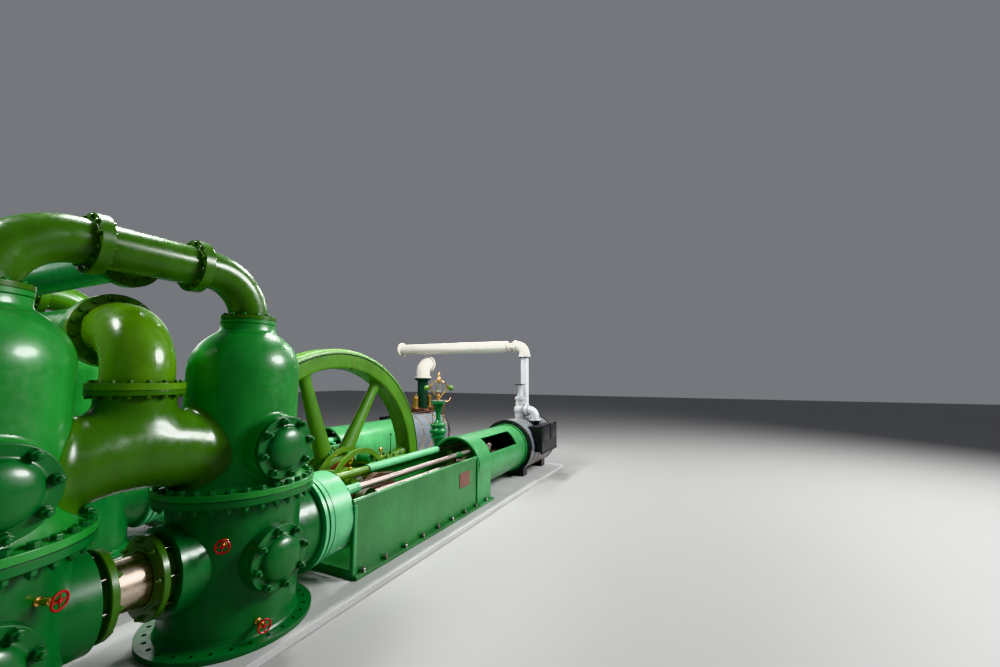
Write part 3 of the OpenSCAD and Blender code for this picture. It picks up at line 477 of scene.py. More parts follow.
CYLINDER_BLACK = Enamel("cylinder_black", (0.024, 0.024, 0.027), roughness=0.42, coat=0.2)
WHEEL_BLACK = Enamel("wheel_black", (0.010, 0.010, 0.011), casting=0.05, edge=0.003)
VALVE_GREY = Enamel("valve_grey", (0.50, 0.52, 0.53), roughness=0.4, coat=0.2, edge=0.008)
PLUNGER_STEEL = BrightMetal("plunger_steel", (0.68, 0.56, 0.45), roughness=0.26, turning=0.01,
                            along=(14, 0.4, 0.4), staining=0.30)
ROD_STEEL = BrightMetal("rod_steel", (0.40, 0.34, 0.31), roughness=0.30, turning=0.01, along=(8, 0.5, 0.5))
SHAFT_STEEL = BrightMetal("shaft_steel", (0.60, 0.58, 0.55), roughness=0.30, turning=0.005, along=(0.4, 8, 0.4),
                          staining=0.04)
GEAR_BROWN = Enamel("gear_brown", (0.050, 0.018, 0.010), roughness=0.4, coat=0.2, edge=0.006)
BOLT_STEEL = BrightMetal("bolt_steel", (0.30, 0.29, 0.27), roughness=0.36)
BRASS = BrightMetal("governor_brass", (0.78, 0.48, 0.20), roughness=0.22, turning=0.04, along=(1, 1, 4))
SHEET_GREY = Lagging("lagging_grey", (0.19, 0.215, 0.24), roughness=0.36, wrinkle=0.002, metal=0.30)
PIPE_WHITE = Lagging("lagging_white", (0.68, 0.65, 0.58))
RISER_WHITE = Lagging("riser_white", (0.62, 0.64, 0.66), roughness=0.35)
CONCRETE = Masonry("concrete", (0.44, 0.44, 0.43))

NODE_FINISH = {
    "foundation": CONCRETE, "lower_chambers": CHAMBER_GREEN, "air_domes": DOME_GREEN,
    "manhole_covers": COVER_GREEN, "plunger_glands": GLAND_GREEN, "arch_pipe": PIPE_GREEN,
    "breeches_pipe": PIPE_GREEN, "discharge_elbow": LIT_ELBOW_GREEN, "distance_piece": MINT_GREEN,
    "main_frame": BEDPLATE_GREEN, "guide_barrel": FRAME_GREEN, "steam_cylinder": CYLINDER_BLACK,
    "cylinder_lagging": SHEET_GREY, "valve_chest": BLACK_IRON, "plunger": PLUNGER_STEEL,
    "side_rods": ROD_STEEL, "crosshead": ROD_STEEL, "connecting_rod": ROD_STEEL,
    "crank_web": CRANK_DARK, "main_bearings": BEARING_GREEN, "crankshaft": SHAFT_STEEL,
    "flywheel": WHEEL_GREEN, "arch_cross_pipe": CROSS_GREEN, "discharge_cross_pipe": DOME_GREEN,
    "steam_riser": RISER_WHITE, "steam_elbow": PIPE_WHITE, "steam_pipe": PIPE_WHITE,
    "far_steam_riser": RISER_GREEN, "far_riser_elbow": PIPE_WHITE, "stop_valve": VALVE_GREY,
    "stop_valve_outlet": VALVE_GREY, "stop_valve_wheel": WHEEL_BLACK,
    "governor_stand": GOVERNOR_GREEN, "governor_spinner": BRASS,
}


class PaintShop:
    """Hands out each finish's material once, and paints the frame's own nodes."""

    def __init__(self) -> None:
        """Starts with no material made."""
        self.made: dict[str, bpy.types.Material] = {}

    def of(self, finish: Enamel | BrightMetal | Lagging | Masonry) -> bpy.types.Material:
        """The material of a finish, built the first time it is asked for.

        Args:
            finish: The finish that is wanted.

        Returns:
            Its material.
        """
        if finish.name not in self.made:
            self.made[finish.name] = finish.material()
        return self.made[finish.name]

    def paint_frame(self) -> None:
        """Gives every CAD node the finish of its kind and smooth rounds."""
        for name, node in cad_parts.items():
            kind = name if name in NODE_FINISH else name.split("_", 1)[1]
            node.data.materials.clear()
            node.data.materials.append(self.of(NODE_FINISH[kind]))
            node.data.shade_smooth()
            node.data.set_sharp_from_angle(angle=math.radians(28))


SHOP = PaintShop()


# Shapes and how they become meshes


class Piece:
    """Gathers the shapes of one piece and makes it an object that rides on a body."""

    def __init__(self, name: str) -> None:
        """Starts an empty piece.

        Args:
            name: The object's name.
        """
        self.name = name
        self.points: list[Vector] = []
        self.faces: list[tuple[int, ...]] = []

    def add(self, points: Sequence[Sequence[float]], faces: Sequence[Sequence[int]], at: Matrix) -> None:
        """Adds points and faces, moved to a place.

        Args:
            points: Points in the place's own axes.
            faces: Indices of the points of each face.
            at: The place.
        """
        first = len(self.points)
        self.points += [at @ Vector(p) for p in points]
        self.faces += [tuple(first + i for i in face) for face in faces]

    def lathe(self, profile: Profile, at: Matrix, sides: int = 48, closed: bool = True) -> "Piece":
        """Turns a profile of radius and height round Z.

        Args:
            profile: Points of the outline, from the bottom up on the outside.
            at: The place.
            sides: Steps round the circle.
            closed: Whether the last point joins the first, as on a ring.

        Returns:
            This piece.
        """
        count = len(profile)
        points = [(r * math.cos(math.tau * i / sides), r * math.sin(math.tau * i / sides), z)
                  for i in range(sides) for r, z in profile]
        faces = []
        for i in range(sides):
            here, there = i * count, (i + 1) % sides * count
            for j in range(count if closed else count - 1):
                k = (j + 1) % count
                faces.append((here + j, there + j, there + k, here + k))
        self.add(points, faces, at)
        return self

    def ring(self, inner: float, outer: float, low: float, high: float, at: Matrix,
             edge: float = 0.004, sides: int = 48) -> "Piece":
        """A ring or disc with softened outer edges; an inner radius of 0 makes it a disc.

        Args:
            inner: Inner radius.
            outer: Outer radius.
            low: Height of its lower face.
            high: Height of its upper face.
            at: The place.
            edge: How far the outer edges are taken off.
            sides: Steps round the circle.

        Returns:
            This piece.
        """
        core = max(inner, 0.0005)
        self.lathe([(core, low), (outer - edge, low), (outer, low + edge), (outer, high - edge),
                    (outer - edge, high), (core, high)], at, sides)
        return self

    def tube(self, path: Sequence[Sequence[float]], radius: float, sides: int = 12,
             closed: bool = False) -> "Piece":
        """A round bar along a path of points.

        Args:
            path: The points that its middle follows.
            radius: The bar's radius.
            sides: Steps round the bar.
            closed: Whether the path is a loop.

        Returns:
            This piece.
        """
        route = [Vector(p) for p in path]
        steps = len(route)
        normal = Vector((0, 0, 1))
        points: list[Vector] = []
        for i, p in enumerate(route):
            before = route[i - 1] if closed or i else p
            after = route[(i + 1) % steps] if closed or i < steps - 1 else p
            along = (after - before).normalized()
            normal = normal - along * normal.dot(along)
            if normal.length < 0.05:
                normal = along.orthogonal()
            normal.normalize()
            side = along.cross(normal)
            points += [p + radius * (math.cos(math.tau * k / sides) * normal
                                     + math.sin(math.tau * k / sides) * side) for k in range(sides)]
        faces: list[tuple[int, ...]] = []
        for i in range(steps if closed else steps - 1):
            a, b = i * sides, (i + 1) % steps * sides
            faces += [(a + k, a + (k + 1) % sides, b + (k + 1) % sides, b + k) for k in range(sides)]
        if not closed:
            faces += [tuple(reversed(range(sides))), tuple(range((steps - 1) * sides, steps * sides))]
        self.add(points, faces, Matrix.Identity(4))
        return self

    def block(self, low: Sequence[float], high: Sequence[float], at: Matrix | None = None,
              edge: float = 0.006) -> "Piece":
        """A box between two corners, with its edges taken off.

        Args:
            low: Lowest corner.
            high: Highest corner.
            at: The place, or none for the engine's own axes.
            edge: How far the edges are taken off.

        Returns:
            This piece.
        """
        mesh = bmesh.new()
        size = [b - a for a, b in zip(low, high)]
        centre = [(a + b) / 2 for a, b in zip(low, high)]
        bmesh.ops.create_cube(mesh, size=1.0, matrix=Matrix.Translation(centre) @ Matrix.Diagonal((*size, 1)))
        bmesh.ops.bevel(mesh, geom=mesh.edges[:], offset=min(edge, min(size) / 3), segments=2, affect="EDGES",
                        profile=0.5)
        mesh.verts.index_update()
        self.add([v.co.copy() for v in mesh.verts], [[v.index for v in f.verts] for f in mesh.faces],
                 at or Matrix.Identity(4))
        mesh.free()
        return self

    def bolt(self, at: Matrix, width: float, kind: Hex = Hex.HEAD, stud: float = 0.35) -> "Piece":
        """A washer with a chamfered hexagon on it, and a stud's end through a nut.

        Args:
            at: Place on the clamped face, with Z out of it.
            width: Width across the hexagon's flats.
            kind: A bolt's head or a nut on a stud.
            stud: How far the stud stands out of the nut, in widths.

        Returns:
            This piece.
        """
        corner = width / math.sqrt(3)
        height = width * (0.62 if kind is Hex.HEAD else 0.8)
        thin = width * 0.08
        self.lathe([(0.001, 0), (corner * 1.12, 0), (corner * 1.12, thin), (0.001, thin)], at, 16)
        rings = [(corner, thin), (corner, height * 0.88), (corner * 0.86, height)]
        points = [(r * math.cos(math.radians(60 * i)), r * math.sin(math.radians(60 * i)), z)
                  for r, z in rings for i in range(6)]
        faces = [(6 * j + i, 6 * j + (i + 1) % 6, 6 * j + 6 + (i + 1) % 6, 6 * j + 6 + i)
                 for j in range(2) for i in range(6)]
        self.add(points, faces + [tuple(range(12, 18))], at)
        if kind is Hex.NUT:
            r, top = width * 0.30, height + width * stud
            self.lathe([(0.0005, height * 0.9), (r, height * 0.9), (r, top - r * 0.3), (r * 0.7, top),
                        (0.0005, top)], at, 10)
        return self

    def bolt_circle(self, centre: Sequence[float], axis: Sequence[float], radius: float, count: int,
                    width: float, kind: Hex = Hex.HEAD, stud: float = 0.35, phase: float = 0.5,
                    keep: Callable[[Vector], bool] = lambda p: True) -> "Piece":
        """Bolts evenly round a circle on a face.

        Args:
            centre: Centre of the circle, on the face.
            axis: Direction out of the face.
            radius: The circle's radius.
            count: How many bolts a full circle has.
            width: Width across the flats.
            kind: Heads or nuts.
            stud: How far studs stand out, in widths.
            phase: Turn of the circle, in bolt spacings.
            keep: Tells for a bolt's place whether it is there.

        Returns:
            This piece.
        """
        base = towards(centre, axis)
        for i in range(count):
            around = base @ Matrix.Rotation(math.tau * (i + phase) / count, 4, "Z")
            at = around @ Matrix.Translation((radius, 0, 0)) @ Matrix.Rotation(math.radians(37 * i), 4, "Z")
            if keep(at.translation):
                self.bolt(at, width, kind, stud)
        return self

    def ball(self, centre: Sequence[float], radius: float, sides: int = 32) -> "Piece":
        """A round ball with poles along Z.

        Args:
            centre: Its centre.
            radius: Its radius.
            sides: Steps round its waist.

        Returns:
            This piece.
        """
        half = sides // 2
        profile = [(max(0.0004, radius * math.sin(math.pi * i / half)), -radius * math.cos(math.pi * i / half))
                   for i in range(half + 1)]
        return self.lathe(profile, Matrix.Translation(Vector(centre)), sides, closed=False)

    def cast(self, field: Field, low: Sequence[float], high: Sequence[float], step: float,
             keep: Field) -> "Piece":
        """Adds the smooth surface on which a distance is zero.

        Args:
            field: Distance of points, below 0 inside.
            low: Lowest corner of the room that is looked at.
            high: Its highest corner.
            step: Distance between the points of the grid.
            keep: Tells, above 0, which points of the surface are wanted.

        Returns:
            This piece.
        """
        axes = [np.arange(a, b + step, step) for a, b in zip(low, high)]
        grid = np.stack(np.meshgrid(*axes, indexing="ij"), -1)
        value = field(grid)
        cells = tuple(n - 1 for n in value.shape)
        total, count = np.zeros((*cells, 3)), np.zeros(cells)
        crossings = []
        for axis in range(3):
            first = [slice(None)] * 3
            second = [slice(None)] * 3
            first[axis], second[axis] = slice(None, -1), slice(1, None)
            a, b = value[tuple(first)], value[tuple(second)]
            cross = (a < 0) != (b < 0)
            at = grid[tuple(first)].copy()
            at[..., axis] += step * np.where(cross, a / np.where(cross, a - b, 1), 0)
            crossings.append(cross)
            others = [i for i in range(3) if i != axis]
            for shift in ((0, 0), (0, 1), (1, 0), (1, 1)):
                part = [slice(None)] * 3
                for i, d in zip(others, shift):
                    part[i] = slice(d, cells[i] + d)
                here = cross[tuple(part)]
                total += np.where(here[..., None], at[tuple(part)], 0)
                count += here
        used = count > 0
        ids = np.full(cells, -1)
        ids[used] = np.arange(used.sum())
        points = total[used] / count[used][:, None]
        for _ in range(3):
            slope = np.stack([(field(points + d) - field(points - d)) / 0.002 for d in np.eye(3) * 0.001], -1)
            points -= (field(points) / np.maximum((slope ** 2).sum(-1), 0.05))[:, None] * slope
        wanted = keep(points) > 0
        faces = []
        for axis, cross in enumerate(crossings):
            i, j = [k for k in range(3) if k != axis]
            spots = np.argwhere(cross)
            inner = ((spots[:, i] > 0) & (spots[:, i] < cells[i]) & (spots[:, j] > 0) & (spots[:, j] < cells[j]))
            spots = spots[inner]
            corners = []
            for di, dj in ((1, 1), (0, 1), (0, 0), (1, 0)):
                moved = spots.copy()
                moved[:, i] -= di
                moved[:, j] -= dj
                corners.append(ids[tuple(moved.T)])
            quads = np.stack(corners, -1)
            faces.append(quads[wanted[quads].all(-1)])
        quads = np.concatenate(faces)
        kept, renamed = np.unique(quads, return_inverse=True)
        self.add(points[kept].tolist(), renamed.reshape(quads.shape).tolist(), Matrix.Identity(4))
        return self

    def done(self, finish: Enamel | BrightMetal | Lagging | Masonry, body: str = "engine",
             slot: str | None = None, sharp: float = 32.0) -> bpy.types.Object:
        """Makes the object, paints it and lets it ride.

        Args:
            finish: The finish.
            body: The CAD body that it rides on.
            slot: Not used.
            sharp: Angle in degrees above which an edge stays sharp.

        Returns:
            The object.
        """
        mesh = bpy.data.meshes.new(self.name)
        mesh.from_pydata([tuple(p) for p in self.points], [], self.faces)
        work = bmesh.new()
        work.from_mesh(mesh)
        bmesh.ops.recalc_face_normals(work, faces=work.faces[:])
        work.to_mesh(mesh)
        work.free()
        mesh.shade_smooth()
        mesh.set_sharp_from_angle(angle=math.radians(sharp))
        mesh.materials.append(SHOP.of(finish))
        made = bpy.data.objects.new(self.name, mesh)
        bpy.context.scene.collection.objects.link(made)
        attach(made, body)
        slot or finish.name
        LOG.info("built %s: %d faces, on %s", self.name, len(mesh.polygons), body)
        return made


def merged(first: np.ndarray, second: np.ndarray, fillet: float) -> np.ndarray:
    """Distance to two forms cast in one, with a fillet between them."""
    close = np.maximum(fillet - np.abs(first - second), 0) / fillet
    return np.minimum(first, second) - close ** 2 * fillet / 4


def arc(centre: Sequence[float], radius: float, start: float, end: float, u: Sequence[float],
        v: Sequence[float], steps: int = 16) -> list[Vector]:
    """Points of an arc.

    Args:
        centre: The arc's centre.
        radius: Its radius.
        start: First angle in degrees, from u towards v.
        end: Last angle in degrees.
        u: Direction at 0 degrees.
        v: Direction at 90 degrees.
        steps: How many steps the arc has.

    Returns:
        The points.
    """
    middle_point, first, second = Vector(centre), Vector(u), Vector(v)
    angles = [math.radians(start + (end - start) * i / steps) for i in range(steps + 1)]
    return [middle_point + radius * (math.cos(a) * first + math.sin(a) * second) for a in angles]


# Trim of each sub-assembly


@dataclass
class PumpTrim:
    """Bolts, studs and small fittings of one line's pump chambers and pipes.

    Attributes:
        side: Which line it is.
        joint_r: Radius of the big joint's flanges.
        joint_bolt_r: Radius of its bolt circle.
        joint_top: Height of the joint's upper face.
        joint_bottom: Height of its lower face.
        neck_top: Height of the joint on top of a dome's neck.
        neck_r: Radius of a dome's neck.
        dome_r: Radius of a dome's straight wall.
        flare_w: How far a dome widens at its foot.
        flare_h: Height of that widening.
        crown_h: Height of a dome's rounded top.
        cover_r: Radius of a manhole cover.
        manhole_seat: Distance of a cover's seat from the line's centre.
        breeches_crown: Height of the breeches pipe's middle at its top.
        breeches_r: Radius of the breeches pipe.
        breeches_bend: Radius of its arch.
        breeches_neck: Radius of the neck on top of it.
        manhole_levels: Heights of the manholes' axes.
        chambers: Axes of the two chambers along the engine.
    """

    side: Side
    joint_r: float = 0.840
    joint_bolt_r: float = 0.789
    joint_top: float = FLOOR + 1.617
    joint_bottom: float = FLOOR + 1.473
    neck_top: float = FLOOR + 3.540
    neck_r: float = 0.310
    dome_r: float = 0.608
    flare_w: float = 0.118
    flare_h: float = 0.330
    crown_h: float = 0.560
    cover_r: float = 0.350
    manhole_seat: float = 0.809
    breeches_crown: float = FLOOR + 2.130
    breeches_r: float = 0.398
    breeches_bend: float = 1.600
    breeches_neck: float = 0.330
    manhole_levels: tuple[float, float] = (AXIS, FLOOR + 2.035)
    chambers: list[float] = field(init=False)

    def __post_init__(self) -> None:
        """Finds the chambers' axes from the frame."""
        low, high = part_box(f"{self.side.word}_air_domes")
        self.chambers = [low.x + self.joint_r, high.x - self.joint_r]

    def build(self) -> None:
        """Adds the covers, the castings and the bolts of every joint."""
        word, y = self.side.word, self.side.y(0)
        joint = Piece(f"{word}_joint_bolts")
        necks = Piece(f"{word}_neck_collars")
        gaskets = Piece(f"{word}_joint_gaskets")
        for x in self.chambers:
            place = Matrix.Translation((x, y, 0))
            joint.bolt_circle((x, y, self.joint_top), (0, 0, 1), self.joint_bolt_r, 32, 0.070)
            joint.bolt_circle((x, y, self.joint_bottom), (0, 0, -1), self.joint_bolt_r + 0.004, 32, 0.064, Hex.NUT)
            gaskets.ring(self.joint_r - 0.03, self.joint_r + 0.0015, FLOOR + 1.542, FLOOR + 1.548, place, 0.001, 96)
            gaskets.ring(self.neck_r - 0.03, self.neck_r + 0.001, self.neck_top - 0.002, self.neck_top + 0.002, place,
                         0.001, 64)
            low = self.neck_top
            necks.lathe([(0.245, low - 0.055), (self.neck_r - 0.004, low - 0.055), (self.neck_r - 0.004, low - 0.120),
                         (self.neck_r + 0.010, low - 0.150), (self.neck_r + 0.045, low - 0.176), (0.245, low - 0.176)],
                        place, 72)
            necks.bolt_circle((x, y, low + 0.05), (0, 0, 1), 0.263, 12, 0.040)
        joint.done(CHAMBER_GREEN, slot="chamber_green")
        necks.done(DOME_GREEN, slot="dome_green")
        gaskets.done(BLACK_IRON, slot="cylinder_iron")
        self.build_domes()
        self.build_covers()
        self.build_breeches()
        self.build_pipe_bolts()
        self.build_glands()

    def wall(self, z: np.ndarray | float) -> np.ndarray | float:
        """A dome's radius at a height, above its joint's flange."""
        rise = np.clip(1 - (z - self.joint_top) / self.flare_h, 0, 1)
        return self.dome_r + self.flare_w * rise ** 2.4

    def build_domes(self) -> None:
        """Turns both domes, and casts the manhole's boss on each with a fillet."""
        word, y, out = self.side.word, self.side.y(0), self.side.value
        low, top = self.joint_top - 0.072, self.neck_top
        end = math.acos(0.250 / self.dome_r)
        shoulder = top - 0.100 - self.crown_h * math.sin(end) - 0.022
        flare = [(float(self.wall(low + 0.072 + self.flare_h * i / 24)), low + 0.072 + self.flare_h * i / 24)
                 for i in range(1, 25)]
        crown = [(self.dome_r * math.cos(end * i / 40), shoulder + self.crown_h * math.sin(end * i / 40))
                 for i in range(41)]
        r, neck = self.joint_r, self.neck_r
        outline = [(0.50, low + 0.002), (r - 0.004, low + 0.002), (r, low + 0.006), (r, low + 0.068),
                   (r - 0.004, low + 0.072), (self.dome_r + self.flare_w + 0.010, low + 0.0725),
                   *flare, *crown, (0.250, top - 0.060),
                   (neck - 0.004, top - 0.050), (neck, top - 0.046), (neck, top - 0.004), (neck - 0.004, top),
                   (0.20, top)]
        shells = Piece(f"{word}_smooth_domes")
        level = self.manhole_levels[1]
        for x in self.chambers:
            shells.lathe(outline, Matrix.Translation((x, y, 0)), 144, closed=False)

            def shell(p: np.ndarray, x: float = x) -> np.ndarray:
                """Distance to the dome's wall."""
                return np.hypot(p[..., 0] - x, p[..., 1] - y) - self.wall(p[..., 2])

            def boss(p: np.ndarray, x: float = x) -> np.ndarray:
                """Distance to the manhole's boss."""
                return np.maximum(np.hypot(p[..., 0] - x, p[..., 2] - level) - self.cover_r,
                                  out * (p[..., 1] - y) - self.manhole_seat + 0.045)

            near, far = sorted((y + out * 0.36, y + out * 0.80))
            shells.cast(lambda p: merged(shell(p), boss(p), 0.07), (x - 0.46, near, level - 0.44),
                        (x + 0.46, far, level + 0.46), 0.012, lambda p: shell(p) - 0.0008)
        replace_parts(shells.done(DOME_GREEN, slot="dome_green", sharp=40), f"{word}_air_domes")

    def build_covers(self) -> None:
        """Makes the manhole covers with their crowned caps and heavy nuts."""
        word = self.side.word
        cap, crown, face, r = 0.236, 0.100, 0.044, self.cover_r
        low = [(0.0005, -0.001), (r - 0.004, -0.001), (r, 0.003), (r, face - 0.006), (r - 0.006, face),
               (cap + 0.034, face), (cap + 0.018, face + 0.003), (cap + 0.006, face + 0.011)]
        turn = [math.radians(90 * i / 14) for i in range(15)]
        dome = [(max(0.0005, cap * math.cos(a)), face + 0.020 + crown * math.sin(a)) for a in turn]
        covers = Piece(f"{word}_crowned_covers")
        nuts = Piece(f"{word}_manhole_nuts")
        lines = Piece(f"{word}_manhole_gaskets")
        for x in self.chambers:
            for z in self.manhole_levels:
                at = towards((x, self.side.y(self.manhole_seat - 0.044), z), (0, self.side.value, 0))
                covers.lathe([*low, *dome], at, 96, closed=False)
                lines.ring(r - 0.05, r + 0.0012, -0.003, 0.003, at, 0.001, 96)
                nuts.bolt_circle((x, self.side.y(self.manhole_seat), z), (0, self.side.value, 0), 0.302, 8, 0.074,
                                 Hex.NUT, 0.55, 0.25)
        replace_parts(covers.done(COVER_GREEN, slot="cover_green"), f"{word}_manhole_covers")
        nuts.done(COVER_GREEN, slot="cover_green")
        lines.done(BLACK_IRON, slot="cylinder_iron")

    def build_breeches(self) -> None:
        """Casts the arched pipe in one with its neck and with fillets to both domes."""
        word, y = self.side.word, self.side.y(0)
        tee = sum(self.chambers) / 2
        crown, pipe, bend, neck = self.breeches_crown, self.breeches_r, self.breeches_bend, self.breeches_neck
        seat = FLOOR + 2.664

        def bare(p: np.ndarray) -> np.ndarray:
            """Distance to the pipe and its neck.

            Args:
                p: Points in the engine's axes.

            Returns:
                A distance for each point.
            """
            x, across, z = p[..., 0] - tee, p[..., 1] - y, p[..., 2]
            arch = np.hypot(np.hypot(x, z - crown + bend) - bend, across) - pipe
            post = np.hypot(np.hypot(x, across), np.minimum(z - crown, 0)) - neck
            return merged(arch, post, 0.10)

        def dome(p: np.ndarray) -> np.ndarray:
            """Distance to the nearer dome."""
            return np.minimum(*[np.hypot(p[..., 0] - x, p[..., 1] - y) for x in self.chambers]) - self.wall(p[..., 2])

        body = Piece(f"{word}_breeches_casting")
        body.cast(lambda p: merged(bare(p), dome(p), 0.08), (tee - 0.95, y - 0.66, self.joint_top - 0.02),
                  (tee + 0.95, y + 0.66, seat + 0.02), 0.014,
                  lambda p: np.minimum(dome(p) - 0.0008, seat + 0.01 - p[..., 2]))
        at = Matrix.Translation((tee, y, 0))
        body.lathe([(neck - 0.02, seat - 0.004), (0.392, seat - 0.004), (0.396, seat), (0.396, FLOOR + 2.706),
                    (0.392, FLOOR + 2.710), (neck - 0.02, FLOOR + 2.710)], at, 96)
        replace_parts(body.done(PIPE_GREEN, slot="pipe_green", sharp=40), f"{word}_breeches_pipe")
        line = Piece(f"{word}_elbow_gasket")
        line.ring(0.36, 0.3972, FLOOR + 2.708, FLOOR + 2.713, at, 0.001, 96)
        line.done(BLACK_IRON, slot="cylinder_iron")

    def build_pipe_bolts(self) -> None:
        """Adds the bolts of the arch pipe, its branch and the discharge elbow."""
        word, y, inward = self.side.word, self.side.y(0), -self.side.value
        low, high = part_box(f"{word}_arch_pipe")
        tee = (low.x + high.x) / 2
        arch_z = middle("arch_cross_pipe").z
        pipes = Piece(f"{word}_pipe_bolts")
        for end in (-1, 1):
            for face in (-1, 1):
                pipes.bolt_circle((tee + end * 0.45 + face * 0.05, y, arch_z), (face, 0, 0), 0.256, 12, 0.038)
        for out, face in ((-0.337, 1), (-0.437, -1)):
            pipes.bolt_circle((tee, self.side.y(out), arch_z), (0, -inward * face, 0), 0.245, 12, 0.036)
        elbow_z = middle("discharge_cross_pipe").z
        for z, face, radius in ((FLOOR + 2.78, 1, 0.35), (FLOOR + 2.66, -1, 0.362)):
            pipes.bolt_circle((tee, y, z), (0, 0, face), radius, 16, 0.046)
        for out, face in ((-0.530, 1), (-0.670, -1)):
            pipes.bolt_circle((tee, self.side.y(out), elbow_z), (0, -inward * face, 0), 0.35, 16, 0.046)
        pipes.done(PIPE_GREEN, slot="pipe_green")

    def build_glands(self) -> None:
        """Makes the gland followers with their flanges, studs and nuts."""
        word, y = self.side.word, self.side.y(0)
        low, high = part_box(f"{word}_plunger_glands")
        bore = 0.2535
        profile = [(bore, 0.0), (0.336, 0.0), (0.336, 0.072), (0.345, 0.078), (0.402, 0.078), (0.410, 0.086),
                   (0.410, 0.136), (0.402, 0.144), (0.300, 0.145), (0.294, 0.150), (0.290, 0.158),
                   (bore + 0.012, 0.158), (bore, 0.150)]
        glands = Piece(f"{word}_gland_followers")
        studs = Piece(f"{word}_gland_studs")
        nuts = Piece(f"{word}_gland_nuts")
        for seat, way in ((low.x, 1), (high.x, -1)):
            at = towards((seat, y, AXIS), (way, 0, 0))
            glands.lathe(profile, at, 96)
            nuts.bolt_circle((seat + way * 0.144, y, AXIS), (way, 0, 0), 0.366, 8, 0.042, Hex.NUT, 0.4, 0.2)
            for i in range(8):
                turn = at @ Matrix.Rotation(math.tau * (i + 0.2) / 8, 4, "Z")
                studs.tube([turn @ Vector((0.366, 0, -0.02)), turn @ Vector((0.366, 0, 0.082))], 0.015)
                studs.add(*self.washer(turn @ Matrix.Translation((0.366, 0, 0.0))))
        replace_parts(glands.done(GLAND_GREEN, slot="gland_green"), f"{word}_plunger_glands")
        nuts.done(GLAND_GREEN, slot="gland_green")
        studs.done(BOLT_STEEL, slot="rod_steel")

    @staticmethod
    def washer(at: Matrix) -> tuple[list[Point], list[tuple[int, ...]], Matrix]:
        """Points, faces and place of the hexagon at a stud's root.

        Args:
            at: Place on the flange, with Z out of it.

        Returns:
            What Piece.add takes.
        """
        points = [(0.026 * math.cos(math.radians(60 * i)), 0.026 * math.sin(math.radians(60 * i)), z)
                  for z in (-0.004, 0.016) for i in range(6)]
        faces = [(i, (i + 1) % 6, 6 + (i + 1) % 6, 6 + i) for i in range(6)]
        return points, [*faces, tuple(range(5, -1, -1)), tuple(range(6, 12))], at


@dataclass
class HandValve:
    """A small cock with a red hand wheel on a chamber's wall.

    Attributes:
        name: Its name.
        foot: Where it leaves the wall.
        out: Direction out of the wall.
        reach: Length of its stem.
        wheel_r: Radius of its hand wheel.
    """

    name: str
    foot: Point
    out: Point
    reach: float = 0.16
    wheel_r: float = 0.065

    def build(self) -> None:
        """Adds the body, the stem and the wheel."""
        at = towards(self.foot, self.out)
        body = Piece(self.name + "_body")
        body.lathe([(0.001, -0.02), (0.034, -0.02), (0.034, 0.012), (0.018, 0.018), (0.018, 0.05), (0.030, 0.055),
                    (0.030, 0.095), (0.014, 0.10), (0.009, 0.11), (0.009, self.reach), (0.001, self.reach)], at, 20)
        body.done(BRASS, slot="governor_brass")
        wheel = Piece(self.name + "_wheel")
        rim = [at @ Vector((self.wheel_r * math.cos(a), self.wheel_r * math.sin(a), self.reach))
               for a in (math.tau * i / 28 for i in range(28))]
        wheel.tube(rim, 0.009, 10, closed=True)
        wheel.ring(0.0, 0.018, self.reach - 0.012, self.reach + 0.012, at, 0.003, 20)
        for i in range(4):
            a = math.tau * i / 4
            wheel.tube([at @ Vector((0, 0, self.reach)),
                        at @ Vector((self.wheel_r * math.cos(a), self.wheel_r * math.sin(a), self.reach))], 0.006, 8)
        wheel.done(WHEEL_RED, slot="crank_brown")


def build_hand_valves() -> None:
    """Adds the small cocks on the pump chambers of both lines."""
    for side in Side:
        low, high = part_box(f"{side.word}_air_domes")
        left, right = low.x + 0.84, high.x - 0.84
        wall = 0.700
        for label, x, turn, z in (("left", left, 62, 1.177), ("right", right, 131, 1.107), ("drain", right, 102, 0.20)):
            a = math.radians(turn)
            out = (math.cos(a), side.value * math.sin(a), 0.0)
            foot = (x + wall * out[0], side.y(0) + wall * out[1], FLOOR + z)
            HandValve(f"{side.word}_{label}_cock", foot, out).build()


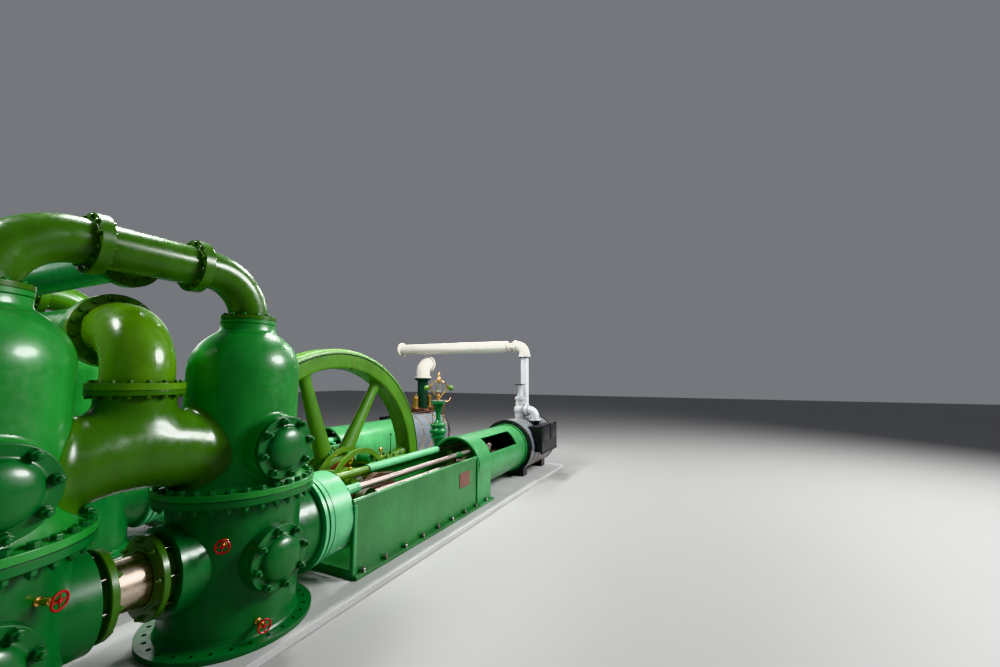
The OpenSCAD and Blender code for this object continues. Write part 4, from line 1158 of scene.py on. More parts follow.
@dataclass
class FlywheelTrim:
    """The spoked wheel as it is cast, with lips on its rim, oval arms and a big hub.

    Attributes:
        depth: Depth of the rim.
        hub_r: Radius of the hub.
        hub_len: Length of the hub.
        bore: Radius of the shaft in it.
        arms: Number of arms.
        first_arm: Angle of the first arm above the engine's line, in degrees.
        seams: Angles of the rim's joints, in degrees.
    """

    depth: float = 0.378
    hub_r: float = 0.538
    hub_len: float = 0.458
    bore: float = 0.190
    arms: int = 7
    first_arm: float = 7.0
    seams: tuple[float, ...] = (84.1, 264.1)

    def build(self) -> None:
        """Casts the rim, arms and hub, and stands them for the CAD wheel."""
        low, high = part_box("flywheel")
        self.outer = (high.x - low.x) / 2 - 0.001
        self.half_w = (high.y - low.y) / 2 - 0.001 if high.y - low.y < 0.459 else 0.209
        self.inner = self.outer - self.depth
        self.at = towards((low + high) / 2, (0, -1, 0))
        wheel = Piece("flywheel_casting")
        self.cast_rim(wheel)
        self.cast_hub(wheel)
        for i in range(self.arms):
            self.cast_arm(wheel, self.turned(self.first_arm + 360 * i / self.arms))
        made = wheel.done(WHEEL_GREEN, "rotor", "wheel_green", 40)
        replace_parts(made, "flywheel")
        self.build_joints()
        self.build_hub_faces()

    def turned(self, angle: float) -> Matrix:
        """Place on the wheel whose X points along an angle above the engine's line."""
        return self.at @ Matrix.Rotation(math.radians(angle), 4, "Z")

    def cast_rim(self, wheel: Piece) -> None:
        """Adds the rim, with a rounded lip round its outside and a bead inside.

        Args:
            wheel: The wheel's casting.
        """
        w, outer, inner = self.half_w, self.outer, self.inner
        side = [(inner, 0.62 * w), (inner + 0.012, 0.90 * w), (inner + 0.035, 0.985 * w), (inner + 0.055, w),
                (outer - 0.085, w), (outer - 0.080, w - 0.022), (outer - 0.050, w - 0.024),
                (outer - 0.016, w - 0.045), (outer, w - 0.080)]
        self.mirrored(wheel, side, 176)

    def cast_hub(self, wheel: Piece) -> None:
        """Adds the hub, stepped down towards its faces.

        Args:
            wheel: The wheel's casting.
        """
        h, hub = self.hub_len / 2, self.hub_r
        side = [(self.bore, h), (hub * 0.955, h), (hub * 0.985, h - 0.008), (hub, h - 0.022)]
        self.mirrored(wheel, side[::-1], 96)

    def mirrored(self, wheel: Piece, side: Profile, sides: int) -> None:
        """Turns a half profile and its mirror image round the shaft.

        Args:
            wheel: The piece that it is added to.
            side: Radius and distance from the wheel's middle plane.
            sides: Steps round the circle.
        """
        wheel.lathe([*side, *[(r, -z) for r, z in reversed(side)]], self.at, sides)

    def cast_arm(self, wheel: Piece, at: Matrix) -> None:
        """Adds one oval arm that flares into hub and rim.

        Args:
            wheel: The piece that it is added to.
            at: The wheel's place, turned to the arm.
        """
        root, tip = self.hub_r, self.inner
        stations = [(root - 0.06, 0.235, 0.160), (root + 0.01, 0.200, 0.145), (root + 0.07, 0.180, 0.135),
                    (root + 0.20, 0.168, 0.126), (root + 0.70, 0.142, 0.108), (tip - 0.30, 0.118, 0.092),
                    (tip - 0.12, 0.116, 0.092), (tip - 0.05, 0.128, 0.100), (tip - 0.012, 0.152, 0.116),
                    (tip + 0.03, 0.190, 0.140)]
        sides = 32
        points = [(r, half * math.cos(math.tau * k / sides), thick * math.sin(math.tau * k / sides))
                  for r, half, thick in stations for k in range(sides)]
        faces = [(i * sides + k, i * sides + (k + 1) % sides, (i + 1) * sides + (k + 1) % sides, (i + 1) * sides + k)
                 for i in range(len(stations) - 1) for k in range(sides)]
        wheel.add(points, faces, at)

    def build_joints(self) -> None:
        """Adds the lines where the rim's halves meet, and a dark ring of painted shade round each face of the rim."""
        seams = Piece("flywheel_seams")
        for angle in self.seams:
            seams.block((self.inner - 0.001, -0.0025, -self.half_w - 0.0006),
                        (self.outer - 0.08, 0.0025, self.half_w + 0.0006), self.turned(angle), 0.001)
        seams.done(CRANK_BROWN, "rotor", "crank_brown")
        # Painted shade: a thin near-black ring round each face of the rim, just inside its lip, standing in for the
        # shadow of a groove.
        groove_shade = Piece("flywheel_groove_shade")
        for way in (-1, 1):
            low, high = sorted((way * (self.half_w - 0.004), way * (self.half_w + 0.0012)))
            groove_shade.ring(self.outer - 0.110, self.outer - 0.084, low, high, self.at, 0.0005, 176)
        groove_shade.done(RISER_GREEN, "rotor", "wheel_green")

    def build_hub_faces(self) -> None:
        """Adds the bare faces round the shaft and the hub's nuts."""
        faces = Piece("hub_faces")
        nuts = Piece("hub_nuts")
        bands = Piece("hub_bands")
        h = self.hub_len / 2
        for way in (-1, 1):
            face = self.at @ towards((0, 0, way * (h - 0.004)), (0, 0, way))
            faces.ring(self.bore, self.hub_r * 0.80, 0.0, 0.005, face, 0.002, 72)
            for k in range(10):
                spot = face @ Matrix.Rotation(math.radians(36 * k + 12), 4, "Z")
                nuts.bolt(spot @ Matrix.Translation((self.hub_r * 0.62, 0, 0.004)), 0.062, Hex.NUT, 0.4)
            bands.ring(self.hub_r - 0.01, self.hub_r + 0.034, -0.070, -0.012, face, 0.008, 96)
        faces.done(CRANK_BROWN, "rotor", "crank_brown")
        nuts.done(CRANK_BROWN, "rotor", "crank_brown")
        bands.done(WHEEL_GREEN, "rotor", "wheel_green")
        self.build_clamps()

    def build_clamps(self) -> None:
        """Adds the lugs and the nuts that hold the hub's halves together; the nuts are painted light mint as a painted
        highlight for the sheen on the hub's top.
        """
        lugs = Piece("hub_lugs")
        nuts = Piece("hub_clamp_nuts")
        for angle in self.seams:
            for across in (-0.13, 0.13):
                for half in (-1, 1):
                    at = self.turned(angle + half * 9.5)
                    lugs.block((self.hub_r - 0.03, -0.060, across - 0.062),
                               (self.hub_r + 0.115, 0.060, across + 0.062), at, 0.016)
                    face = at @ towards((self.hub_r + 0.060, half * 0.060, across), (0, half, 0))
                    nuts.bolt(face, 0.085, Hex.NUT, 0.6)
        lugs.done(WHEEL_GREEN, "rotor", "wheel_green")
        # Painted highlight: the clamp nuts are painted light mint, lighter than the wheel, for the sheen on the hub's
        # top.
        nuts.done(MINT_GREEN, "rotor", "mint_green")


@dataclass
class FrameTrim:
    """Fittings of one line's frame, bearing and guide barrel.

    Attributes:
        side: Which line it is.
        half_w: Half width of the frame.
        wall_top: Height of the side walls' beads; not used.
        bead_r: Radius of the beads; not used.
        foot_h: Thickness of the foot flanges.
        rod_y: Distance of a side rod from the line's centre.
        rod_z: Height of the side rods.
        guard_len: How far the rod's cover reaches past the hood.
        stroke: Way that the side rods travel.
        yoke_room: Room left beside the yoke at the end of its way.
        coupling_at: Distance of the rods' coupling from the shaft.
        barrel_r: Radius of the guide barrel.
    """

    side: Side
    half_w: float = 0.600
    wall_top: float = FLOOR + 1.087
    bead_r: float = 0.042
    foot_h: float = 0.052
    rod_y: float = 0.380
    rod_z: float = AXIS + 0.345
    guard_len: float = 1.316
    stroke: float = 0.900
    yoke_room: float = 0.150
    coupling_at: float = 3.60
    barrel_r: float = 0.630

    def build(self) -> None:
        """Adds the frame's fittings."""
        word = self.side.word
        self.shaft_x = middle(f"{word}_crank_web").x
        low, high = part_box(f"{word}_main_frame")
        self.start, self.end = low.x, high.x
        self.build_bolts()
        self.build_walls()
        self.build_sleeves()
        self.build_bearing()
        self.build_barrel()

    def build_bolts(self) -> None:
        """Adds the holding-down bolts along the foot flanges."""
        word = self.side.word
        feet = Piece(f"{word}_frame_foot_bolts")
        count = 9
        for out in (self.half_w + 0.048, -self.half_w - 0.048):
            for i in range(count):
                x = self.start + 0.18 + (self.end + 0.45 - self.start - 0.3) * i / (count - 1)
                if out < 0 and abs(x - self.shaft_x - 0.45) < 1.15:
                    continue
                feet.bolt(towards((x, self.side.y(out), FLOOR + self.foot_h), (0, 0, 1), 20 * i), 0.055, Hex.NUT, 0.6)
        feet.done(BOLT_STEEL, slot="rod_steel")

    def build_walls(self) -> None:
        """Adds the wall's ribs, the joint strip to the barrel and the bare plate."""
        word, out = self.side.word, self.half_w
        ribs = Piece(f"{word}_frame_ribs")
        for x in (self.end - 0.045, self.start + 0.02):
            low_y, high_y = self.side.between(out - 0.01, out + 0.028)
            ribs.block((x - 0.03, low_y, FLOOR + self.foot_h), (x + 0.03, high_y, FLOOR + 1.01), edge=0.01)
        ribs.done(FRAME_GREEN, slot="frame_green")
        plate = Piece(f"{word}_frame_plate")
        low_y, high_y = self.side.between(out - 0.002, out + 0.008)
        x = self.end - 0.60
        plate.block((x - 0.21, low_y, FLOOR + 0.56), (x + 0.21, high_y, FLOOR + 0.86), edge=0.004)
        plate.done(PLATE_RED, slot="crank_brown")
        screws = Piece(f"{word}_frame_plate_screws")
        for dx in (-0.18, 0.18):
            for z in (0.59, 0.83):
                screws.lathe([(0.0004, 0), (0.012, 0), (0.008, 0.006), (0.0004, 0.008)],
                             towards((x + dx, self.side.y(out + 0.008), FLOOR + z), (0, self.side.value, 0)), 14)
        screws.done(BRASS, slot="governor_brass")

    def build_sleeves(self) -> None:
        """Adds the sleeves on the hood that lead the side rods, and the couplings on the rods."""
        word, body = self.side.word, f"{self.side.word}_train"
        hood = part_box(f"{word}_distance_piece")[1].x
        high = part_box(f"{word}_side_rods")[1]
        sleeves = Piece(f"{word}_rod_sleeves")
        at = towards((hood - 0.04, self.side.y(self.rod_y), self.rod_z), (1, 0, 0))
        sleeves.lathe([(0.058, 0), (0.072, 0), (0.072, 0.27), (0.078, 0.276), (0.078, 0.325), (0.072, 0.332),
                       (0.058, 0.332)], at, 40)
        sleeves.bolt_circle((hood, self.side.y(self.rod_y), self.rod_z), (1, 0, 0), 0.098, 6, 0.022)
        sleeves.done(MINT_GREEN, slot="mint_green")
        guard = Piece(f"{word}_rod_guard")
        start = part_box("near_side_rods")[0].x + self.stroke + self.yoke_room
        length = hood + self.guard_len - start
        inner = towards((start, self.side.y(-self.rod_y), self.rod_z), (1, 0, 0))
        guard.lathe([(0.058, 0), (0.073, 0), (0.073, 0.05), (0.066, 0.056), (0.066, length), (0.058, length)],
                    inner, 40)
        guard.done(BEARING_GREEN, slot="bearing_green")
        self.build_cover(hood + self.guard_len + 0.004)
        nuts = Piece(f"{word}_rod_nuts")
        coupling = Piece(f"{word}_rod_couplings")
        for out in (self.rod_y, -self.rod_y):
            end = towards((high.x - 0.055, self.side.y(out), self.rod_z), (1, 0, 0))
            nuts.lathe([(0.053, 0), (0.064, 0.003), (0.064, 0.05), (0.053, 0.053)], end, 6)
            middle_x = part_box(f"{word}_side_rods")[0].x + self.coupling_at
            spot = towards((middle_x, self.side.y(out), self.rod_z), (1, 0, 0))
            coupling.lathe([(0.0535, 0), (0.058, 0.004), (0.058, 0.10), (0.064, 0.105), (0.064, 0.135), (0.058, 0.14),
                            (0.058, 0.24), (0.0535, 0.244)], spot, 32)
        nuts.done(ROD_STEEL, body, "rod_steel", 20)
        coupling.done(CHAMBER_GREEN, body, "chamber_green")

    def build_cover(self, start: float) -> None:
        """Adds the rounded cover over the inner side rod, from the crank to the barrel.

        Args:
            start: Where the cover begins.
        """
        cover = Piece(f"{self.side.word}_rod_cover")
        length = self.end - 0.20 - start
        outline = arc((0, 0, 0), 1.0, -25, 205, (1, 0, 0), (0, 1, 0), 26)
        shell = [(p.x * 0.098, p.y * 0.082) for p in outline] + [(p.x * 0.090, p.y * 0.074) for p in reversed(outline)]
        count = len(shell)
        points = [(start + length * k, self.side.y(-self.rod_y - 0.012) + a, self.rod_z + b)
                  for k in (0, 1) for a, b in shell]
        faces = [(i, (i + 1) % count, count + (i + 1) % count, count + i) for i in range(count)]
        half = count // 2
        ends = [(k + i, k + i + 1, k + count - 2 - i, k + count - 1 - i) for k in (0, count) for i in range(half - 1)]
        cover.add(points, [*faces, *ends], Matrix.Identity(4))
        for k in (0.02, 0.5, 0.98):
            x = start + length * k
            low_y, high_y = self.side.between(-self.rod_y - 0.085, -self.half_w + 0.01)
            cover.block((x - 0.03, low_y, self.rod_z - 0.07), (x + 0.03, high_y, self.rod_z - 0.03), edge=0.004)
        cover.done(MINT_GREEN, slot="mint_green")

    def build_bearing(self) -> None:
        """Adds the bracket's plates, the bearing cap's bolts, its oilers and an oil pipe."""
        word = self.side.word
        top = FLOOR + 1.190
        x0, x1 = self.shaft_x - 0.50, self.shaft_x + 1.435
        plate = Piece(f"{word}_bracket_plate")
        for start, stop in ((x0 + 0.02, self.shaft_x - 0.39), (self.shaft_x + 0.39, x1 - 0.02)):
            low_y, high_y = self.side.between(-0.605, -0.945)
            plate.block((start, low_y, top - 0.002), (stop, high_y, top + 0.026), edge=0.008)
        low_y, high_y = self.side.between(-0.66, -0.88)
        plate.block((self.shaft_x + 0.52, low_y, top + 0.02), (self.shaft_x + 0.98, high_y, top + 0.062), edge=0.012)
        plate.done(BEARING_GREEN, slot="bearing_green")
        bolts = Piece(f"{word}_bearing_bolts")
        for x in (-0.33, 0.33):
            for out in (-0.58, -0.86):
                bolts.bolt(towards((self.shaft_x + x, self.side.y(out), AXIS + 0.11), (0, 0, 1), 15), 0.085,
                           Hex.NUT, 0.8)
        for i in range(5):
            x = self.shaft_x + 0.47 + 0.22 * i
            for out in (-0.905, -0.645):
                bolts.bolt(towards((x, self.side.y(out), top + 0.026), (0, 0, 1), 11 * i), 0.052, Hex.NUT, 0.5)
        bolts.done(GLAND_GREEN, slot="gland_green")
        self.build_keeps(top)
        oilers = Piece(f"{word}_bearing_oilers")
        for x, out, foot, tall in ((0.0, -0.72, AXIS + 0.325, 1.0), (0.62, -0.77, top + 0.06, 0.62),
                                   (0.88, -0.77, top + 0.06, 0.62)):
            self.add_oiler(oilers, (self.shaft_x + x, self.side.y(out), foot), tall)
        oilers.done(BRASS, slot="governor_brass")
        pipes = Piece(f"{word}_oil_pipes")
        stand = (self.shaft_x + 1.10, self.side.y(-0.70))
        pipes.tube([(*stand, top), (*stand, top + 0.46)], 0.009)
        pipes.ball((*stand, top + 0.475), 0.026, 20)
        pipes.done(CHAMBER_GREEN, slot="chamber_green")

    def build_keeps(self, top: float) -> None:
        """Adds the round crank bearing's guard drum and its keeper beside the flywheel.

        Args:
            top: Height of the bracket's top.
        """
        word = self.side.word
        keeps = Piece(f"{word}_bearing_keeper")
        low_y, high_y = self.side.between(-0.62, -0.92)
        at = towards((self.shaft_x + 0.44, low_y, top + 0.085), (0, 1, 0))
        keeps.lathe([(0.0005, 0), (0.070, 0), (0.078, 0.008), (0.078, high_y - low_y - 0.008), (0.070, high_y - low_y),
                     (0.0005, high_y - low_y)], at, 32)
        keeps.done(CHAMBER_GREEN, slot="chamber_green")

    @staticmethod
    def add_oiler(piece: Piece, foot: Point, tall: float) -> None:
        """Adds one glass-shaped lubricator.

        Args:
            piece: The piece that it is added to.
            foot: Where it stands.
            tall: Its size against the biggest one.
        """
        outline = [(0.001, 0), (0.035, 0), (0.035, 0.02), (0.015, 0.03), (0.015, 0.10), (0.035, 0.115), (0.062, 0.15),
                   (0.070, 0.19), (0.060, 0.235), (0.030, 0.262), (0.012, 0.272), (0.010, 0.30), (0.001, 0.302)]
        piece.lathe([(r * tall, z * tall) for r, z in outline], Matrix.Translation(foot), 28)

    def build_barrel(self) -> None:
        """Adds the barrel's flange bolts, the lips of its openings and its guide rails."""
        word, y = self.side.word, self.side.y(0)
        low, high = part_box(f"{word}_guide_barrel")
        bolts = Piece(f"{word}_barrel_bolts")
        bolts.bolt_circle((high.x - 0.07, y, AXIS), (-1, 0, 0), 0.648, 24, 0.030)
        bolts.done(FRAME_GREEN, slot="frame_green")
        lip = Piece(f"{word}_barrel_mouth")
        mouth = arc((low.x + 0.012, y, AXIS), self.barrel_r + 0.004, 4, 176, (0, -1, 0), (0, 0, 1), 40)
        lip.tube(mouth, 0.022, 12)
        lip.done(FRAME_GREEN, slot="frame_green")
        rail = Piece(f"{word}_guide_rail")
        start, length = low.x + 0.63, 1.59
        angle = math.asin(0.20 / (self.barrel_r - 0.02))
        for side in (-1, 1):
            out = self.barrel_r * math.cos(angle) - 0.025
            rail.tube([(start + 0.005, y + side * out, AXIS + 0.197),
                       (start + length - 0.005, y + side * out, AXIS + 0.197)], 0.016)
        rail.done(FRAME_GREEN, slot="frame_green")


@dataclass
class CylinderTrim:
    """Bands, studs and fittings of one steam cylinder with its valve chest.

    Attributes:
        side: Which line it is.
        lagging_r: Radius of the lagging.
        bands: Places of the bands along the lagging, as shares of its length.
        band_w: Width of a band.
        flange_w: Thickness of the cylinder's flanges.
        stud_r: Radius of the circle of the cover's studs.
        studs: How many studs a cover has.
        lid_share: Length of one lid, as a share of the chest's.
        plate_top: Height of the valve chest's plate over the axis, without its rim.
        plate_h: Height of that plate.
        plate_rim: How far its rim stands out round it.
    """

    side: Side
    lagging_r: float = 0.750
    bands: tuple[float, ...] = (0.02, 0.26, 0.50, 0.74, 0.98)
    band_w: float = 0.044
    flange_w: float = 0.06
    stud_r: float = 0.690
    studs: int = 24
    lid_share: float = 0.44
    plate_top: float = 0.5658
    plate_h: float = 0.720
    plate_rim: float = 0.045

    def build(self) -> None:
        """Adds the bands, the cover's studs and the chest's bolts."""
        word, y = self.side.word, self.side.y(0)
        low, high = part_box(f"{word}_cylinder_lagging")
        bands = Piece(f"{word}_lagging_bands")
        for share in self.bands:
            x = low.x + (high.x - low.x) * share
            bands.ring(self.lagging_r - 0.01, self.lagging_r + 0.004, -self.band_w / 2, self.band_w / 2,
                       towards((x, y, AXIS), (1, 0, 0)), 0.002, 96)
        bands.done(BRASS, slot="governor_brass")
        ends = Piece(f"{word}_cylinder_studs")
        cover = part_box(f"{word}_steam_cylinder")[1].x
        back, front = low.x - self.flange_w, high.x + self.flange_w
        ends.bolt_circle((front, y, AXIS), (1, 0, 0), self.stud_r, self.studs, 0.052, Hex.NUT, 0.5)
        ends.bolt_circle((back, y, AXIS), (-1, 0, 0), self.stud_r + 0.015, self.studs, 0.046, Hex.NUT, 0.2,
                         keep=lambda p: (p - Vector((back, y, AXIS))).length > self.stud_r)
        ends.done(BLACK_IRON, slot="chest_iron")
        self.build_cover(cover, y)
        self.build_chest()

    def build_cover(self, x: float, y: float) -> None:
        """Adds the turned rings on the cylinder's end cover.

        Args:
            x: Where the cover's outer face is.
            y: The line's centre.
        """
        rings = Piece(f"{self.side.word}_cover_rings")
        at = towards((x - 0.004, y, AXIS), (-1, 0, 0))
        for radius in (0.16, 0.42, 0.56):
            rings.ring(radius, radius + 0.03, -0.004, 0.02, at, 0.003, 72)
        rings.done(CYLINDER_BLACK, slot="cylinder_iron")

    def build_chest(self) -> None:
        """Adds the valve chest's lids and the studs round its lid."""
        word = self.side.word
        low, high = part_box(f"{word}_valve_chest")
        out = max(abs(low.y), abs(high.y)) - LINE_Y
        lid = Piece(f"{word}_chest_lid")
        edge = 0.075
        for share in (0.25, 0.75):
            x = low.x + (high.x - low.x) * share
            near, far = self.side.between(out - 0.02, out + 0.012)
            half = (high.x - low.x) * self.lid_share / 2 - edge / 2
            lid.block((x - half, near, low.z + 0.35), (x + half, far, high.z - edge - 0.05), edge=0.008)
        lid.done(CYLINDER_BLACK, slot="chest_iron")
        studs = Piece(f"{word}_chest_studs")
        columns, rows, inset = 11, 6, 0.035
        xs = [low.x + inset + (high.x - low.x - 2 * inset) * i / (columns - 1) for i in range(columns)]
        middle_z, rim = AXIS + self.plate_top, self.plate_rim
        bottom, top = middle_z - self.plate_h - rim, middle_z + rim
        zs = [bottom + inset + (top - bottom - 2 * inset) * i / (rows - 1) for i in range(rows)]
        for i, x in enumerate(xs):
            for j, z in enumerate(zs):
                if i in (0, columns - 1) or j in (0, rows - 1):
                    studs.bolt(towards((x, self.side.y(out - 0.014), z), (0, self.side.value, 0), 13 * (i + j)), 0.04)
        studs.done(BLACK_IRON, slot="chest_iron")


@dataclass
class SteamTrim:
    """Bolts, rods and covering joints of the steam pipes and the stop valve.

    Attributes:
        bolt: Width of the pipe flanges' nuts across their flats.
    """

    bolt: float = 0.034

    def build(self) -> None:
        """Adds the fittings of the pipes and of the valve."""
        self.build_pipes()
        self.build_valve()

    def build_pipes(self) -> None:
        """Adds flange bolts, the expansion joint's rods and the covering's seams."""
        riser_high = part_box("steam_riser")[1]
        pipe_low, pipe_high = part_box("steam_pipe")
        x, y = middle("steam_pipe").x, -LINE_Y
        z = middle("steam_pipe").z
        bolts = Piece("steam_flange_bolts")
        bolts.bolt_circle((x, y, riser_high.z + 0.04), (0, 0, 1), 0.182 - 0.012, 10, 0.018, phase=0.2)
        bolts.bolt_circle((x, y, riser_high.z - 0.04), (0, 0, -1), 0.158, 10, self.bolt, Hex.NUT)
        bolts.bolt_circle((x, pipe_low.y + 0.04, z), (0, 1, 0), 0.155, 10, self.bolt)
        bolts.done(BLACK_IRON, slot="chest_iron")
        rods = Piece("expansion_rods")
        for turn in (35, 145, 215, 325):
            a = math.radians(turn)
            at = Vector((x + 0.15 * math.cos(a), 0, z + 0.15 * math.sin(a)))
            rods.tube([at + Vector((0, pipe_low.y - 0.03, 0)), at + Vector((0, pipe_low.y + 0.31, 0))], 0.010)
        rods.done(BOLT_STEEL, slot="rod_steel")
        seams = Piece("steam_pipe_seams")
        start, step = pipe_low.y + 0.31, 0.62
        count = int((pipe_high.y - start) / step)
        for i in range(count + 1):
            seams.ring(0.18, 0.1915, -0.012, 0.012, towards((x, start + 0.02 + step * i, z), (0, 1, 0)), 0.002, 64)
        seams.done(PIPE_WHITE, slot="lagging_white")
        far = Piece("far_riser_bolts")
        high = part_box("far_steam_riser")[1]
        centre = middle("far_steam_riser")
        far.bolt_circle((centre.x, centre.y, high.z + 0.06), (0, 0, 1), 0.268, 12, self.bolt)
        far.bolt_circle((centre.x, centre.y, high.z - 0.06), (0, 0, -1), 0.245, 12, self.bolt, Hex.NUT)
        far.done(RISER_GREEN, slot="riser_green")

    def build_valve(self) -> None:
        """Adds the bonnet's bolts and the bolts of the valve's two flanges."""
        centre = middle("stop_valve_wheel")
        base = FLOOR + 1.82
        bolts = Piece("stop_valve_bolts")
        bolts.bolt_circle((centre.x, centre.y, base + 0.40), (0, 0, 1), 0.128, 8, 0.032, Hex.NUT, 0.4)
        bolts.bolt_circle((centre.x, centre.y, base + 0.32), (0, 0, -1), 0.152, 8, 0.02)
        bolts.bolt_circle((centre.x + 0.20, centre.y, base), (-1, 0, 0), 0.16, 8, 0.03, Hex.NUT)
        bolts.bolt_circle((centre.x + 0.28, centre.y, base), (1, 0, 0), 0.16, 8, 0.03)
        bolts.done(VALVE_GREY, slot="valve_grey")


@dataclass
class GovernorTrim:
    """The ball governor's green balls, brass arms and links, on its stand.

    Attributes:
        ball_r: Radius of a ball.
        circle: Radius of the circle of the balls.
        turn: Turn of the arms about the spindle, in degrees.
        ball_h: Height of the balls' centres over the stand.
        pivot_h: Height of the arms' upper pins.
        tip_h: Height of the spindle's tip.
    """

    ball_r: float = 0.0725
    circle: float = 0.315
    turn: float = -65.0
    ball_h: float = 0.315
    pivot_h: float = 0.520
    tip_h: float = 0.735

    def build(self) -> None:
        """Makes the spinning head and dresses the stand."""
        stand = middle("governor_stand")
        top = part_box("governor_stand")[1].z
        self.at = Matrix.Translation((stand.x, stand.y, top + 0.002)) @ Matrix.Rotation(math.radians(self.turn), 4, "Z")
        head = Piece("governor_frame")
        spindle = [(0.001, 0), (0.056, 0), (0.056, 0.035), (0.040, 0.042), (0.040, 0.070), (0.056, 0.078),
                   (0.056, 0.100), (0.030, 0.108), (0.022, 0.130), (0.022, 0.47), (0.042, 0.480), (0.048, 0.500),
                   (0.048, 0.550), (0.036, 0.565), (0.030, 0.610), (0.044, 0.630), (0.040, 0.665), (0.020, 0.690),
                   (0.014, self.tip_h), (0.001, self.tip_h + 0.004)]
        head.lathe(spindle, self.at, 36)
        for side in (-1, 1):
            ball = (side * self.circle, 0, self.ball_h)
            out = (side * 0.030, 0, self.pivot_h)
            for offset in (-0.018, 0.018):
                head.tube([self.at @ Vector((out[0], offset, out[2])),
                           self.at @ Vector((side * 0.150, offset, self.pivot_h - 0.065)),
                           self.at @ Vector((side * (self.circle - 0.05), offset * 0.6, self.ball_h + 0.030))],
                           0.016, 12)
            head.tube([self.at @ Vector((side * 0.225, 0, self.pivot_h - 0.142)),
                       self.at @ Vector((side * 0.195, 0, self.ball_h - 0.06)),
                       self.at @ Vector((side * 0.095, 0, 0.150)),
                       self.at @ Vector((side * 0.042, 0, 0.088))], 0.019, 12)
            head.ball(self.at @ Vector((side * 0.225, 0, self.pivot_h - 0.142)), 0.022, 20)
            head.tube([self.at @ Vector((side * (self.circle - 0.075), 0, self.ball_h + 0.02)),
                       self.at @ Vector(ball)], 0.018, 12)
        sleeve = Piece("governor_sleeve")
        sleeve.lathe([(0.024, 0.20), (0.066, 0.205), (0.072, 0.215), (0.072, 0.240), (0.060, 0.252), (0.060, 0.385),
                      (0.070, 0.395), (0.070, 0.420), (0.024, 0.430)], self.at, 36)
        balls = Piece("governor_balls")
        for side in (-1, 1):
            balls.ball(self.at @ Vector((side * self.circle, 0, self.ball_h)), self.ball_r, 40)
        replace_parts(head.done(BRASS, "governor_head", "governor_brass"), "governor_spinner")
        sleeve.done(SHAFT_STEEL, "governor_head", "shaft_steel")
        balls.done(BEARING_GREEN, "governor_head", "governor_green")
        self.dress_stand(stand, top)

    def dress_stand(self, stand: Vector, top: float) -> None:
        """Adds the stand's rods, rim, rings, foot bolts and brackets.

        Args:
            stand: Middle of the stand.
            top: Height of the table's top.
        """
        place = Matrix.Translation((stand.x, stand.y, 0))
        rods = Piece("governor_rods")
        for dx, dy, low, r in ((0.16, -0.05, 1.60, 0.017), (-0.14, 0.08, 1.62, 0.010)):
            rods.tube([(stand.x + dx, stand.y + dy, FLOOR + low), (stand.x + dx, stand.y + dy, top - 0.02)], r)
            rods.ball((stand.x + dx, stand.y + dy, FLOOR + low + 0.22), r * 1.9, 20)
        rods.tube([(stand.x + 0.16, stand.y - 0.05, top - 0.06), (stand.x + 0.34, stand.y - 0.10, top - 0.02),
                   (stand.x + 0.40, stand.y - 0.12, top + 0.06)], 0.012)
        rods.done(BRASS, slot="governor_brass")
        plate = Piece("governor_table")
        plate.ring(0.06, 0.1915, top - 0.016, top + 0.0002, place, 0.004, 56)
        plate.done(SHAFT_STEEL, slot="shaft_steel")
        trim = Piece("governor_stand_trim")
        for z, r, t in ((1.585, 0.215, 0.045), (1.300, 0.190, 0.022)):
            trim.ring(0.10, r, FLOOR + z, FLOOR + z + t, place, 0.008, 56)
        swell = [(0.10 + 0.118 * math.sin(math.pi * k / 20) ** 0.6, FLOOR + 1.325 + 0.255 * k / 20) for k in range(21)]
        trim.lathe(swell, place, 56, closed=False)
        trim.lathe([(0.10, FLOOR + 1.632), (0.165, FLOOR + 1.632), (0.120, FLOOR + 1.665), (0.085, FLOOR + 1.700),
                    (0.060, FLOOR + 1.735)], place, 56)
        trim.bolt_circle((stand.x, stand.y, FLOOR + 0.06), (0, 0, 1), 0.215, 8, 0.034)
        for turn in (20, 140, 260):
            a = math.radians(turn)
            bracket = [(stand.x + 0.058 * math.cos(a), stand.y + 0.058 * math.sin(a), top - 0.30),
                       (stand.x + 0.10 * math.cos(a), stand.y + 0.10 * math.sin(a), top - 0.14),
                       (stand.x + 0.17 * math.cos(a), stand.y + 0.17 * math.sin(a), top - 0.03)]
            trim.tube(bracket, 0.018, 12)
        trim.done(GOVERNOR_GREEN, slot="governor_green")


